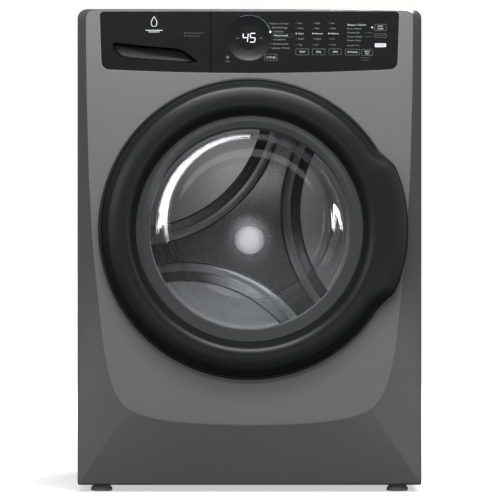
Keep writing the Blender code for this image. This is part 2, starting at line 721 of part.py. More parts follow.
def tub_halves(axis):
    neck_in, neck_out = 0.2175, 0.2205
    front = turned("tub_front", [
        (neck_in, 0.066), (neck_in, 0.087), (TUB_R - WALL, 0.087), (TUB_R - WALL, FLANGE_DEPTH),
        (FLANGE_R, FLANGE_DEPTH), (FLANGE_R, FLANGE_DEPTH - 0.005), (TUB_R, FLANGE_DEPTH - 0.005),
        (TUB_R, 0.083), (neck_out, 0.083), (neck_out, 0.066)], "plastic", TUB, BIG)
    for side in (-1, 1):
        spring_lug = sorted((side * 0.283, side * 0.312))
        damper_lug = sorted((side * 0.192, side * 0.226))
        fuse(front,
             block(f"spring_lug_{side}", (spring_lug[0], SUSPENSION_Y - 0.012, 0.618),
                   (spring_lug[1], SUSPENSION_Y + 0.012, 0.642)),
             block(f"damper_lug_{side}", (damper_lug[0], SUSPENSION_Y - 0.015, 0.268),
                   (damper_lug[1], SUSPENSION_Y + 0.015, 0.296)))
    sump = Matrix.Translation((0, SUMP_Y, 0))
    fuse(front, rod("spout", 0.022, 0.188, 0.213, None, sump, 16))
    cut(front, rod("spout_bore", 0.018, 0.180, 0.230, None, sump, 16))

    start = FLANGE_DEPTH + GAP
    rear = turned("tub_rear", [
        (FLANGE_R, start), (TUB_R - WALL, start), (TUB_R - WALL, TUB_END - 0.006),
        (BEARING_R + GAP, TUB_END - 0.006), (BEARING_R + GAP, HUB_END), (0.058, HUB_END),
        (0.064, TUB_END), (TUB_R, TUB_END), (TUB_R, start + 0.005), (FLANGE_R, start + 0.005)],
        "plastic", TUB, BIG)
    fuse(rear, plate("motor_saddle", [rectangle(-0.04, 0.04, -MOTOR_DROP + 0.062 + GAP, -0.3045)],
                     0.45, 0.58, None, TUB))
    hang(axis, front, rear)


def counterweight():
    outline = arc(0, 0, 0.302, 20, 160, 16) + arc(0, 0, 0.240, 160, 20, 16)
    return plate("front_counterweight", [outline], 0.040, 0.0825, "concrete", TUB)


def drum_shell():
    lip, thick = 0.205, 0.0012
    inner = DRUM_R - thick
    return turned("drum_shell", [
        (lip, 0.104), (lip, 0.0945), (lip + 0.0025, DRUM_FRONT), (0.2550, 0.0960), (0.2740, 0.1030),
        (DRUM_R, 0.1180), (DRUM_R, DRUM_BACK + 0.0055), (inner, DRUM_BACK + 0.0055), (inner, 0.1190),
        (0.2725, 0.1050), (0.2545, 0.0980), (lip + 0.003, 0.0942), (lip + 0.002, 0.0955),
        (lip + 0.002, 0.104)], "steel", TUB, BIG)


STAR_SIDE_R = 0.2964         # hollow sides of the star: radius, and distance of their centres
STAR_SIDE_AWAY = 0.3884
STAR_END_R = 0.270
STAR_PROUD = 0.012


def star_outline():
    """Three arms that end at the lifters, with hollow sides between them."""
    cosine = (STAR_END_R ** 2 + STAR_SIDE_AWAY ** 2 - STAR_SIDE_R ** 2) / (2 * STAR_END_R * STAR_SIDE_AWAY)
    reach_angle = math.degrees(math.acos(cosine))
    rise = STAR_END_R * math.sin(math.radians(reach_angle))
    sweep = math.degrees(math.asin(rise / STAR_SIDE_R))
    outline = []
    for arm in LIFTER_ANGLES:
        middle = arm + 60
        x, up = (STAR_SIDE_AWAY * f(math.radians(middle)) for f in (math.cos, math.sin))
        outline += arc(x, up, STAR_SIDE_R, middle + 180 + sweep, middle + 180 - sweep, 10)
        outline += arc(0, 0, STAR_END_R, middle + reach_angle, middle + 120 - reach_angle, 3)[1:-1]
    return outline


def drum_back():
    """A pressed disc whose star stands forward and is hollow behind."""
    rim, thick = 0.2775, 0.002
    disc = turned("drum_back", [(0, DRUM_BACK), (rim, DRUM_BACK), (rim, DRUM_BACK + thick),
                                (0, DRUM_BACK + thick)], "steel", TUB, BIG)
    star = star_outline()
    hollow = [(x * 0.95, up * 0.95) for x, up in star]
    top = DRUM_BACK - STAR_PROUD
    fuse(disc, plate("star", [star], top, DRUM_BACK + thick / 2, None, TUB))
    return cut(disc, plate("star_hollow", [hollow], top + thick, DRUM_BACK + 0.01, None, TUB))


def lifter(number, angle):
    """A fin on the drum's wall that tapers to a rounded top."""
    base, tip = 0.2730, 0.2090
    section = [(0.040, base), (0.034, base - 0.012), (0.022, tip + 0.020), (0.014, tip + 0.004),
               (0.006, tip)]
    across = section + [(-s, r) for s, r in reversed(section)]
    turn = math.radians(angle)
    outline = [(r * math.cos(turn) - s * math.sin(turn), r * math.sin(turn) + s * math.cos(turn))
               for s, r in across]
    return plate(f"lifter_{number}", [outline], 0.135, 0.530, "grey_plastic", TUB)


def drum_spider():
    """Three arms and the shaft that carry the drum from behind."""
    front = DRUM_BACK + 0.008
    spider = turned("drum_spider", [(0, front), (0.040, front), (0.040, front + 0.028),
                                    (SHAFT_R, front + 0.034), (SHAFT_R, 0.715), (0, 0.715)], "cast", TUB)
    for angle in LIFTER_ANGLES:
        turn = math.radians(angle)
        ends = ((0.020, 0.020), (0.265, 0.016), (0.265, -0.016), (0.020, -0.020))
        arm = [(r * math.cos(turn) - s * math.sin(turn), r * math.sin(turn) + s * math.cos(turn))
               for r, s in ends]
        fuse(spider, plate(f"spider_arm_{angle}", [arm], front + 0.001, front + 0.020, None, TUB))
    return spider


def drive(tub_axis, drum_axis):
    """Bearing, drum pulley, motor, motor pulley and belt."""
    bearing = turned("drum_bearing", [(0.0181, 0.594), (BEARING_R, 0.594), (BEARING_R, 0.660),
                                      (0.0181, 0.660)], "steel", TUB)
    end = PULLEY_FRONT + PULLEY_WIDE
    middle = PULLEY_FRONT + PULLEY_WIDE / 2
    pulley = turned("drum_pulley", [
        (0.0181, PULLEY_FRONT), (0.032, PULLEY_FRONT), (0.036, middle), (0.142, middle),
        (0.142, PULLEY_FRONT), (PULLEY_R, PULLEY_FRONT), (PULLEY_R, end), (0.138, end),
        (0.132, middle + 0.005), (0.032, middle + 0.005), (0.0181, end)], "cast", TUB, BIG)
    motor_frame = TUB @ Matrix.Translation((0, MOTOR_DROP, 0))
    motor = turned("motor", [(0, 0.420), (0.040, 0.420), (0.048, 0.430), (0.062, 0.440), (0.062, 0.620),
                             (0.048, 0.632), (0.020, 0.640), (0, 0.640)], "grey_plastic", motor_frame)
    small = turned("motor_pulley", [(0, 0.6405), (0.005, 0.6405), (0.005, 0.662),
                                    (MOTOR_PULLEY_R, 0.662), (MOTOR_PULLEY_R, end), (0, end)],
                   "steel", motor_frame)
    belt = plate("drive_belt", [belt_outline(GAP + BELT_THICK), belt_outline(GAP)], PULLEY_FRONT + 0.004,
                 end - 0.005, "rubber", TUB)
    hang(tub_axis, bearing, motor, belt)
    hang(drum_axis, pulley)
    hang(joint_axis("motor_axis", motor_frame), small)


def belt_outline(clear):
    """The loop round both pulleys, a little clear of them."""
    big, little = PULLEY_R + clear, MOTOR_PULLEY_R + clear
    lean = math.degrees(math.asin((big - little) / MOTOR_DROP))
    return arc(0, 0, big, -lean, 180 + lean, 32) + arc(0, -MOTOR_DROP, little, 180 + lean, 360 - lean, 8)


def suspension(tub_axis):
    """A spring and a damper on each side."""
    bottom, top, coil_r, wire_r = 0.6425, 0.9295, 0.016, 0.002
    turns, per_turn = 6, 7
    for side, hand in ((-1, "left"), (1, "right")):
        points = []
        for i in range(turns * per_turn + 1):
            angle = 2 * math.pi * i / per_turn
            rise = bottom + wire_r + (top - bottom - 2 * wire_r) * i / (turns * per_turn)
            points.append((side * SPRING_X + coil_r * math.cos(angle),
                           SUSPENSION_Y + coil_r * math.sin(angle), rise))
        tube(f"{hand}_spring", points, wire_r, "steel")
        place = Matrix.Translation((side * DAMPER_X, SUSPENSION_Y, 0))
        foot = FLOOR_Z + FLOOR_THICK + GAP
        turned(f"{hand}_damper_cylinder", [(0, foot), (0.016, foot), (0.016, 0.150), (0.0085, 0.150),
                                           (0.0085, 0.030), (0, 0.030)], "grey_plastic", place, 16)
        rod_piece = turned(f"{hand}_damper_rod", [(0, 0.060), (0.0078, 0.060), (0.0078, 0.250),
                                                  (0.013, 0.255), (0.013, 0.268 - GAP),
                                                  (0, 0.268 - GAP)], "grey_plastic", place, 16)
        hang(tub_axis, rod_piece)


def tub_group():
    tub_axis = joint_axis("tub_axis", TUB)
    drum_axis = joint_axis("drum_axis", TUB)
    tub_halves(tub_axis)
    hang(tub_axis, counterweight())
    lifters = [lifter(i + 1, angle) for i, angle in enumerate(LIFTER_ANGLES)]
    hang(drum_axis, drum_shell(), drum_back(), drum_spider(), *lifters)
    drive(tub_axis, drum_axis)
    suspension(tub_axis)


# ---- Water -------------------------------------------------------------------------------------
def drain_pump():
    frame = sideways(0, PUMP_Y, PUMP_Z)
    turned("drain_pump", [
        (0, 0.265), (0.030, 0.265), (0.030, 0.200), (0.045, 0.200), (0.045, 0.150), (0.020, 0.150),
        (0.020, 0.120), (0.014, 0.120), (0.014, 0.155), (0.040, 0.155), (0.040, 0.195), (0, 0.195)],
        "grey_plastic", frame)
    impeller = rod("pump_impeller", 0.011, 0.160, 0.190, "plastic", frame, 16)
    for name, wide, high in (("blade_y", 0.072, 0.003), ("blade_z", 0.003, 0.072)):
        fuse(impeller, block(name, (0.163, PUMP_Y - wide / 2, PUMP_Z - high / 2),
                             (0.187, PUMP_Y + wide / 2, PUMP_Z + high / 2)))
    hang(joint_axis("impeller_axis", frame), impeller)


def sump_hose():
    """From the tub's spout down and across to the pump, straight at both ends."""
    straight, pull, steps = 0.008, 0.09, 8
    top, end = Vector((0, SUMP_Y, 0.188 - GAP)), Vector((0.120 - GAP, PUMP_Y, PUMP_Z))
    a, d = top - Vector((0, 0, straight)), end - Vector((straight, 0, 0))
    b, c = a - Vector((0, 0, pull)), d - Vector((pull, 0, 0))
    points = [top]
    for i in range(steps + 1):
        t = i / steps
        points.append(a * (1 - t) ** 3 + b * 3 * t * (1 - t) ** 2 + c * 3 * t * t * (1 - t) + d * t ** 3)
    tube("sump_hose", points + [end], 0.019, "rubber")


def rear_ports():
    """Two inlet valves, the drain outlet and the gland for the mains lead."""
    end = PORT_END_Y
    for name, (x, z), finish in (("hot_inlet_valve", HOT_VALVE, "red_plastic"),
                                 ("cold_inlet_valve", COLD_VALVE, "blue_plastic")):
        turned(name, [(0, 0.300), (0.018, 0.300), (0.018, 0.372), (0.0133, 0.372), (0.0133, end),
                      (0.008, end), (0.008, 0.360), (0, 0.360)], finish, backward(x, 0, z), 14)
    turned("drain_outlet", [(0, 0.340), (0.016, 0.340), (0.016, end), (0.0125, end), (0.0125, 0.345),
                            (0, 0.345)], "grey_plastic", backward(DRAIN_PORT[0], 0, DRAIN_PORT[1]), 16)
    turned("cord_gland", [(0.0045, 0.372), (0.012, 0.372), (0.012, 0.388), (0.009, 0.398),
                          (0.0045, 0.398)], "rubber", backward(CORD_PORT[0], 0, CORD_PORT[1]), 16)


# ---- Build -------------------------------------------------------------------------------------
front_panel()
cabinet_shell()
rear_panel()
base_frame()
feet()
control_fascia()
detergent_drawer()
dispenser_housing()
door()
door_gasket()
tub_group()
drain_pump()
sump_hose()
rear_ports()
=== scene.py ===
# %% [markdown]
# # A front load washing machine
# The machine stands on the floor with its door to -Y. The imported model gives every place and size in
# metres, so each piece below is built straight in that frame, as its own object, and rides on the body that
# moves it. Outlines are lists of points; curves in a real pressing come from rounding the corners of those
# outlines.

import json
import math

import bmesh
import bpy
from mathutils import Matrix, Vector

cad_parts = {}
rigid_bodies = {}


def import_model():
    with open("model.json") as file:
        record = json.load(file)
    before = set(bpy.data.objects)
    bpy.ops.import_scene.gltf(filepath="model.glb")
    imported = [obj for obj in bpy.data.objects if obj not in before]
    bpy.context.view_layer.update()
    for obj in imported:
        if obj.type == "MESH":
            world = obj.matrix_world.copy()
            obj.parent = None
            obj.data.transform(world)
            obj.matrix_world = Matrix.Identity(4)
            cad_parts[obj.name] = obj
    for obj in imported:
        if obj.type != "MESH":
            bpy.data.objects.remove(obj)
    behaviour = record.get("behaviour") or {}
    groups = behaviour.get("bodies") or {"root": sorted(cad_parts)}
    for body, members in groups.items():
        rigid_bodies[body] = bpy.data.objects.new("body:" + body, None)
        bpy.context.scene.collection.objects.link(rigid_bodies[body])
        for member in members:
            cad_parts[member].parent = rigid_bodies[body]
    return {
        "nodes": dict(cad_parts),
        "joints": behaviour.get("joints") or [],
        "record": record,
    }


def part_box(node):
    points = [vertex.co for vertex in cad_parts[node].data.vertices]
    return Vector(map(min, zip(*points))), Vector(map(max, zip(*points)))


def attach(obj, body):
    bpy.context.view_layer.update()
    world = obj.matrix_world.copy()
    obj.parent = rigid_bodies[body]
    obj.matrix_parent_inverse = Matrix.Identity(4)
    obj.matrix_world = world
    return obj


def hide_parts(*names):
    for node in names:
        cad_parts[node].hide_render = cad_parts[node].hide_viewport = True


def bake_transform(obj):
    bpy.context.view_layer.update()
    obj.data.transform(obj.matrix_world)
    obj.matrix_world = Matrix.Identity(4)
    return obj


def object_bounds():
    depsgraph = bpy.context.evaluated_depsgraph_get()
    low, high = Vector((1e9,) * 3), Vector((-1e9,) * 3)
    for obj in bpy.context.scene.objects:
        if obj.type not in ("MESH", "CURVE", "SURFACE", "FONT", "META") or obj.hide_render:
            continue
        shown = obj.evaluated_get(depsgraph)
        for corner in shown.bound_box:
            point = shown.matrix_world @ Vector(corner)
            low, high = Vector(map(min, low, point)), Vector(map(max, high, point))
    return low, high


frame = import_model()
cad_low, cad_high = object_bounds()
print("frame box", [round(v, 4) for v in (*cad_low, *cad_high)])

# %% [markdown]
# ## Sizes
# The pieces are placed from the boxes of their nodes and from the joints. The drum's axis drops a little
# towards the back, as it does in large front loaders, so it gets its own frame.

# %% Sizes read from the frame
JOINTS = {joint["name"]: joint for joint in frame["joints"]}


def middle(node):
    low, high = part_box(node)
    return (low + high) / 2


FACE_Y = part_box("front_panel")[0].y
EDGE_Y = FACE_Y + 0.025
DOOR_Z = JOINTS["drum_spin"]["pos_m"][2]
SIDE_X = cad_high.x
TOP_Z = cad_high.z
CONSOLE_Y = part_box("control_fascia")[0].y
CONSOLE_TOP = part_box("control_fascia")[1].z
SEAM_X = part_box("control_fascia")[0].x
DISPLAY = middle("display_lens")
AXIS = JOINTS["drum_spin"]["axis"]
TILT = math.atan2(-AXIS[2], AXIS[1])
DOOR = Matrix.Translation((0, FACE_Y, DOOR_Z))
TUB = DOOR @ Matrix.Rotation(-TILT, 4, "X")
print("door centre", round(DOOR_Z, 4), "tilt", round(math.degrees(TILT), 2))

# %% [markdown]
# ## Shape helpers
# Most pieces of a washing machine are pressed, turned or moulded. A pressing is a stack of rings that are
# skinned together, a turned piece is a profile swept round an axis, and a moulded plate is an outline given
# thickness and rounded edges. `softened` rounds the corners of an outline and never leaves it, so no piece
# grows out of its box.

# %% Outlines
def arc(x, up, radius, start, end, steps):
    angles = [math.radians(start + (end - start) * i / steps) for i in range(steps + 1)]
    return [(x + radius * math.cos(a), up + radius * math.sin(a)) for a in angles]


def ring_outline(radius, steps=48, x=0.0, up=0.0):
    return arc(x, up, radius, 0, 360, steps)[:-1]


def rounded(x, up, wide, high, radius, steps=5):
    dx, dz = wide / 2 - radius, high / 2 - radius
    corners = ((dx, -dz, -90), (dx, dz, 0), (-dx, dz, 90), (-dx, -dz, 180))
    return [p for cx, cz, a in corners for p in arc(x + cx, up + cz, radius, a, a + 90, steps)]


def softened(points, radius, steps=4, closed=True):
    """Round every corner with a short curve."""
    made, count = [], len(points)
    for i, point in enumerate(points):
        corner = Vector(point)
        if not closed and i in (0, count - 1):
            made.append(tuple(corner))
            continue
        before, after = Vector(points[i - 1]) - corner, Vector(points[(i + 1) % count]) - corner
        start = corner + before.normalized() * min(radius, 0.48 * before.length)
        end = corner + after.normalized() * min(radius, 0.48 * after.length)
        for step in range(steps + 1):
            t = step / steps
            made.append(tuple(start * (1 - t) ** 2 + corner * 2 * t * (1 - t) + end * t * t))
    return made


def flowing(points, steps=6, closed=False):
    """A smooth line through every point."""
    count = len(points)
    made = []
    for i in range(count if closed else count - 1):
        if closed:
            a, b, c, d = (Vector(points[(i + k) % count]) for k in (-1, 0, 1, 2))
        else:
            a, b, c, d = (Vector(points[min(max(i + k, 0), count - 1)]) for k in (-1, 0, 1, 2))
        for step in range(steps):
            t = step / steps
            made.append(tuple(0.5 * (b * 2 + (c - a) * t + (a * 2 - b * 5 + c * 4 - d) * t * t
                                     + (b * 3 - a - c * 3 + d) * t ** 3)))
    return made if closed else made + [tuple(points[-1])]


print("outline helpers ready")


# %% Solids
def from_work(name, work, crease=35):
    mesh = bpy.data.meshes.new(name)
    work.to_mesh(mesh)
    work.free()
    mesh.shade_smooth()
    mesh.set_sharp_from_angle(angle=math.radians(crease))
    piece = bpy.data.objects.new(name, mesh)
    bpy.context.scene.collection.objects.link(piece)
    return piece


def skin(name, rings, ring_closed=True, stack_closed=False, crease=35):
    """Faces between neighbouring rings of points; a ring of one point is a pole."""
    work = bmesh.new()
    loops = [[work.verts.new(p) for p in ring] for ring in rings]
    for a, b in list(zip(loops, loops[1:])) + ([(loops[-1], loops[0])] if stack_closed else []):
        count = max(len(a), len(b))
        for i in range((count if ring_closed else count - 1) if count > 1 else 0):
            j = (i + 1) % count
            corners = (a[i % len(a)], a[j % len(a)], b[j % len(b)], b[i % len(b)])
            work.faces.new(list(dict.fromkeys(corners)))
    bmesh.ops.recalc_face_normals(work, faces=work.faces)
    return from_work(name, work, crease)


def swept_point(place, radius, angle, depth):
    turn = math.radians(angle)
    return place @ Vector((radius * math.cos(turn), depth, radius * math.sin(turn)))


def turned(name, profile, place, steps=48, crease=35, closed=True):
    """Turn a (radius, depth) profile about the place's Y."""
    rings = []
    for radius, depth in profile:
        count = steps if radius > 1e-6 else 1
        rings.append([swept_point(place, radius, 360 * i / steps, depth) for i in range(count)])
    shut = closed and profile[0][0] > 1e-6
    return skin(name, rings, stack_closed=shut, crease=crease)


def slab(name, outlines, front, back, edge=0.0, crease=35, place=None):
    """A plate between two depths, cut out of (x, up) outlines, with rounded edges."""
    curve = bpy.data.curves.new(name, "CURVE")
    curve.dimensions, curve.fill_mode, curve.extrude = "2D", "BOTH", (back - front) / 2
    for outline in outlines:
        line = curve.splines.new("POLY")
        line.points.add(len(outline) - 1)
        for point, (x, up) in zip(line.points, outline):
            point.co = (x, up, 0, 1)
        line.use_cyclic_u = True
    guide = bpy.data.objects.new(name + "_guide", curve)
    bpy.context.scene.collection.objects.link(guide)
    mesh = bpy.data.meshes.new_from_object(guide.evaluated_get(bpy.context.evaluated_depsgraph_get()))
    bpy.data.objects.remove(guide)
    work = bmesh.new()
    work.from_mesh(mesh)
    bmesh.ops.remove_doubles(work, verts=work.verts, dist=1e-5)
    turn = Matrix.Translation((0, (front + back) / 2, 0)) @ Matrix.Rotation(math.radians(90), 4, "X")
    work.transform((place or Matrix()) @ turn)
    bmesh.ops.recalc_face_normals(work, faces=work.faces)
    piece = from_work(name, work, crease)
    return eased(piece, edge) if edge else piece


def eased(piece, width, steps=3, angle=38):
    """Round a piece's sharp edges and keep its flats flat."""
    bevel = piece.modifiers.new("edges", "BEVEL")
    bevel.width, bevel.segments, bevel.limit_method = width, steps, "ANGLE"
    bevel.angle_limit = math.radians(angle)
    bevel.use_clamp_overlap = True
    piece.modifiers.new("flats", "WEIGHTED_NORMAL").keep_sharp = True
    return piece


def settled(piece):
    """Apply a piece's modifiers."""
    bpy.context.view_layer.update()
    mesh = bpy.data.meshes.new_from_object(piece.evaluated_get(bpy.context.evaluated_depsgraph_get()))
    piece.modifiers.clear()
    piece.data = mesh
    return piece


def cut(piece, *tools):
    for tool in tools:
        step = piece.modifiers.new("cut", "BOOLEAN")
        step.operation, step.object, step.solver = "DIFFERENCE", tool, "EXACT"
    settled(piece)
    for tool in tools:
        bpy.data.objects.remove(tool)
    return piece


def joined(name, pieces):
    """One object out of several."""
    work = bmesh.new()
    for piece in pieces:
        mesh = settled(piece).data
        work.from_mesh(mesh)
        bpy.data.objects.remove(piece)
    return from_work(name, work)


def tube(name, points, radius, sides=12, closed=False):
    """A round wire along a line of points."""
    points = [Vector(p) for p in points]
    count, rings = len(points), []
    up = Vector((0, 0, 1))
    for i, point in enumerate(points):
        ahead = points[(i + 1) % count] if closed else points[min(i + 1, count - 1)]
        along = (ahead - points[i - 1 if closed or i else 0]).normalized()
        across = along.cross(up)
        across = across.normalized() if across.length > 1e-4 else Vector((1, 0, 0))
        lift = across.cross(along)
        size = radius(i / (count - 1)) if callable(radius) else radius
        rings.append([point + (across * math.cos(a) + lift * math.sin(a)) * size
                      for a in (2 * math.pi * k / sides for k in range(sides))])
    if not closed:
        rings = [[points[0]]] + rings + [[points[-1]]]
    return skin(name, rings, stack_closed=closed, crease=50)


print("solid helpers ready")


# %% Placing pieces
def show(piece, body, slot, stands_for=(), finish=None):
    """Give a piece the finish of its slot, or the finish passed in, and the body it rides on."""
    piece.data.materials.clear()
    piece.data.materials.append((finish or FINISHES[slot]).material)
    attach(piece, body)
    if stands_for:
        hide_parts(*stands_for)
    return piece


def stretched(piece, slot, node):
    """A piece that lies between two bodies: it takes its slot's finish and is baked in place, on no body."""
    piece.data.materials.append(FINISHES[slot].material)
    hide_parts(node)
    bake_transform(piece)


print("pieces are placed with show() and stretched()")

# %% [markdown]
# ## Finishes
# Each finish is a node tree round one shader. What is the same all over sits on the shader's sockets. What
# varies is written as an expression on signals: noise for mottling and orange peel, waves for brushing,
# cells for metal flake. Places in the material come from the object's own coordinates, which are the
# machine's metres.

# %% Signals and finishes
class Signal:
    """A node's output that can stand in an expression."""

    def __init__(self, finish, socket):
        self.finish, self.socket = finish, socket

    def math(self, operation, *terms):
        return self.finish.node("ShaderNodeMath", {"operation": operation}, dict(enumerate(terms)))

    def __add__(self, other):
        return self.math("ADD", self, other)

    def __sub__(self, other):
        return self.math("SUBTRACT", self, other)

    def __rsub__(self, other):
        return self.math("SUBTRACT", other, self)

    def __mul__(self, other):
        return self.math("MULTIPLY", self, other)

    def __truediv__(self, other):
        return self.math("DIVIDE", self, other)

    def __mod__(self, other):
        return self.math("FLOORED_MODULO", self, other)

    def __abs__(self):
        return self.math("ABSOLUTE", self)

    __radd__, __rmul__ = __add__, __mul__

    def ramp(self, low, high):
        """0 below low, 1 above high, with a soft start and end."""
        return self.finish.node("ShaderNodeMapRange", {"interpolation_type": "SMOOTHSTEP"},
                                {0: self, 1: low, 2: high, 3: 0.0, 4: 1.0})


class Finish:
    """One procedural material round a Principled shader."""

    def __init__(self, name, colour, roughness=0.5, metallic=0.0, **settings):
        self.material = bpy.data.materials.new(name)
        self.material.use_nodes = True
        self.tree = self.material.node_tree
        self.shader = self.tree.nodes["Principled BSDF"]
        self.colour, self.roughness = colour, roughness
        self.set(Base_Color=(*colour, 1), Roughness=roughness, Metallic=metallic, **settings)
        self.place = self.node("ShaderNodeTexCoord", output="Object")

    def node(self, kind, settings=None, values=None, output=0):
        made = self.tree.nodes.new(kind)
        for name, value in (settings or {}).items():
            setattr(made, name, value)
        for key, value in (values or {}).items():
            self.feed(made.inputs[key], value)
        return Signal(self, made.outputs[output])

    def feed(self, socket, value):
        if isinstance(value, Signal):
            self.tree.links.new(value.socket, socket)
        else:
            socket.default_value = value

    def set(self, **values):
        for name, value in values.items():
            self.feed(self.shader.inputs[name.replace("_", " ")], value)
        return self

    def axes(self):
        split = self.node("ShaderNodeSeparateXYZ", values={0: self.place})
        return tuple(Signal(self, out) for out in split.socket.node.outputs)

    def noise(self, scale, detail=3.0, stretch=None):
        at = self.place
        if stretch:
            at = self.node("ShaderNodeVectorMath", {"operation": "MULTIPLY"}, {0: at, 1: stretch})
        return self.node("ShaderNodeTexNoise", values={"Vector": at, "Scale": scale, "Detail": detail})

    def cells(self, scale):
        return self.node("ShaderNodeTexVoronoi", values={"Vector": self.place, "Scale": scale},
                         output="Color")

    def mixed(self, share, first, second):
        """One colour turning into another."""
        first, second = ((*c, 1) if isinstance(c, tuple) and len(c) == 3 else c for c in (first, second))
        return self.node("ShaderNodeMix", {"data_type": "RGBA"}, {0: share, 6: first, 7: second}, 2)

    def shaded(self, share, low=0.8, high=1.2):
        """The base colour made darker and lighter by a signal."""
        dark, light = (tuple(min(c * k, 1) for c in self.colour) for k in (low, high))
        return self.mixed(share, dark, light)

    def bumped(self, height, depth):
        """A bump whose height of 1 stands for depth metres."""
        levels = {"Height": height, "Distance": depth, "Strength": 1.0}
        return self.set(Normal=self.node("ShaderNodeBump", values=levels, output="Normal"))

    def worn(self, mottle=0.08, grain=900, peel=0.00002, spread=0.08):
        """Light mottling, a fine moulded or sprayed grain, and roughness that drifts."""
        broad, fine = self.noise(9.0), self.noise(grain, 2.0)
        self.set(Base_Color=self.shaded(broad * 0.6 + fine * 0.4, 1 - mottle, 1 + mottle),
                 Roughness=self.roughness + (broad - 0.5) * spread)
        return self.bumped(fine, peel)


print("finish helpers ready")

# %% [markdown]
# ### Sprayed panels
# The cabinet is steel with a graphite coat that holds fine metal flake under a clear layer. Cells of random
# brightness make the flake, and a soft bump gives the orange peel that every sprayed panel has.

# %% Cabinet paint
FINISHES = {}


def cabinet_paint():
    paint = Finish("cabinet_paint", (0.19, 0.19, 0.193), 0.40, 0.55, Coat_Roughness=0.25,
                   Specular_IOR_Level=0.4)
    flake = paint.node("ShaderNodeSeparateColor", values={0: paint.cells(1400)})
    cloud = paint.noise(3.0)
    peel = paint.noise(260, 2.0)
    paint.set(Base_Color=paint.shaded(flake * 0.55 + cloud * 0.45, 0.88, 1.10),
              Roughness=0.40 + (flake - 0.5) * 0.10 + (cloud - 0.5) * 0.05,
              Coat_Weight=0.12 + cloud * 0.06)
    return paint.bumped(peel * 0.8 + flake * 0.2, 0.00004)


FINISHES["cabinet_paint"] = cabinet_paint()
print("cabinet_paint", len(FINISHES["cabinet_paint"].tree.nodes), "nodes")

# %% [markdown]
# ### Console and door plastics
# The console is black gloss plastic behind a hard coat, which shows a faint ripple and fine wipe marks. The
# door's bezel is the same family of plastic with a satin face, and its inner parts have a moulded
# leather-like grain.

# %% Plastics
def console_black():
    gloss = Finish("console_black", (0.008, 0.008, 0.0085), 0.16, Coat_Roughness=0.05, Coat_IOR=1.45)
    ripple, wipe = gloss.noise(14.0, 2.0), gloss.noise(60.0, 4.0, (1.0, 1.0, 9.0))
    gloss.set(Base_Color=gloss.shaded(wipe, 0.7, 1.5), Roughness=0.13 + ripple * 0.05 + wipe * 0.05,
              Coat_Weight=0.35 + ripple * 0.1)
    return gloss.bumped(ripple, 0.00005)


def moulded(name, colour, roughness, mottle=0.08, grain=900, peel=0.00002, **settings):
    return Finish(name, colour, roughness, **settings).worn(mottle, grain, peel)


FINISHES["console_black"] = console_black()
FINISHES["door_trim"] = moulded("door_trim", (0.016, 0.0163, 0.017), 0.33, 0.12, 1500, 0.000012,
                                Specular_IOR_Level=0.36)
# colour, roughness, mottle, grain size, grain depth
for name, *look in (("door_grey", (0.135, 0.137, 0.14), 0.42, 0.07, 1100, 0.00003),
                    ("lifter_grey", (0.055, 0.056, 0.058), 0.36, 0.08, 900, 0.00002),
                    ("tub_plastic", (0.50, 0.51, 0.50), 0.55, 0.10, 350, 0.00008),
                    ("inner_plastic", (0.16, 0.163, 0.168), 0.50, 0.08, 700, 0.00004),
                    ("drawer_plastic", (0.62, 0.63, 0.64), 0.38, 0.04, 1000, 0.00002),
                    ("valve_red", (0.42, 0.025, 0.02), 0.38, 0.10, 800, 0.00003),
                    ("valve_blue", (0.02, 0.08, 0.36), 0.38, 0.10, 800, 0.00003)):
    FINISHES[name] = moulded(name, *look)
# lighter grey than the cabinet: partly the trim's own colour and partly a painted highlight along the
# console's cut edge
BEAD_HIGHLIGHT_GREY = moulded("bead_grey", (0.27, 0.272, 0.277), 0.5, 0.06, 900, 0.00001)
CAP_GREY = moulded("hub_cap", (0.80, 0.80, 0.81), 0.36, 0.05, 900, 0.00002)
SCOOP_BLACK = moulded("scoop_black", (0.007, 0.007, 0.0075), 0.46, 0.08, 900, 0.00002,
                      Specular_IOR_Level=0.22)
print("plastics:", ", ".join(FINISHES))

# %% [markdown]
# ### Steel and castings
# The drum is stainless sheet, brushed round its axis, and its wall is pierced all over. The holes are not
# cut: each is a near-black dot, painted shade for the dark inside the hole, with a shallow dip in the bump.
# They follow the turning angle and the depth along the tilted axis, in staggered rows, so they line up with
# the pressing as real ones do. The flat back has a rolled grain and no holes.

# %% Drum steel
def drum_places(finish):
    """Turning angle round the tilted axis and depth along it."""
    x, y, z = finish.axes()
    y = y - FACE_Y
    up = (z - DOOR_Z) * math.cos(TILT) + y * math.sin(TILT)
    return x.math("ARCTAN2", up, x), y * math.cos(TILT) - (z - DOOR_Z) * math.sin(TILT)


def staggered(across, along, pitch, radius):
    """1 inside the round holes of staggered rows."""
    row = along / pitch
    shift = row.math("FLOOR", row) % 2 * 0.5
    dx = (across / pitch + shift) % 1 - 0.5
    dy = row % 1 - 0.5
    far = dx.math("SQRT", dx * dx + dy * dy) * pitch
    return 1 - far.ramp(radius * 0.75, radius)


HOLE_PITCH, HOLE_SIZE, DRUM_REACH = 0.0155, 0.0017, 0.28
PIERCED_FROM, PIERCED_TO = 0.125, 0.530


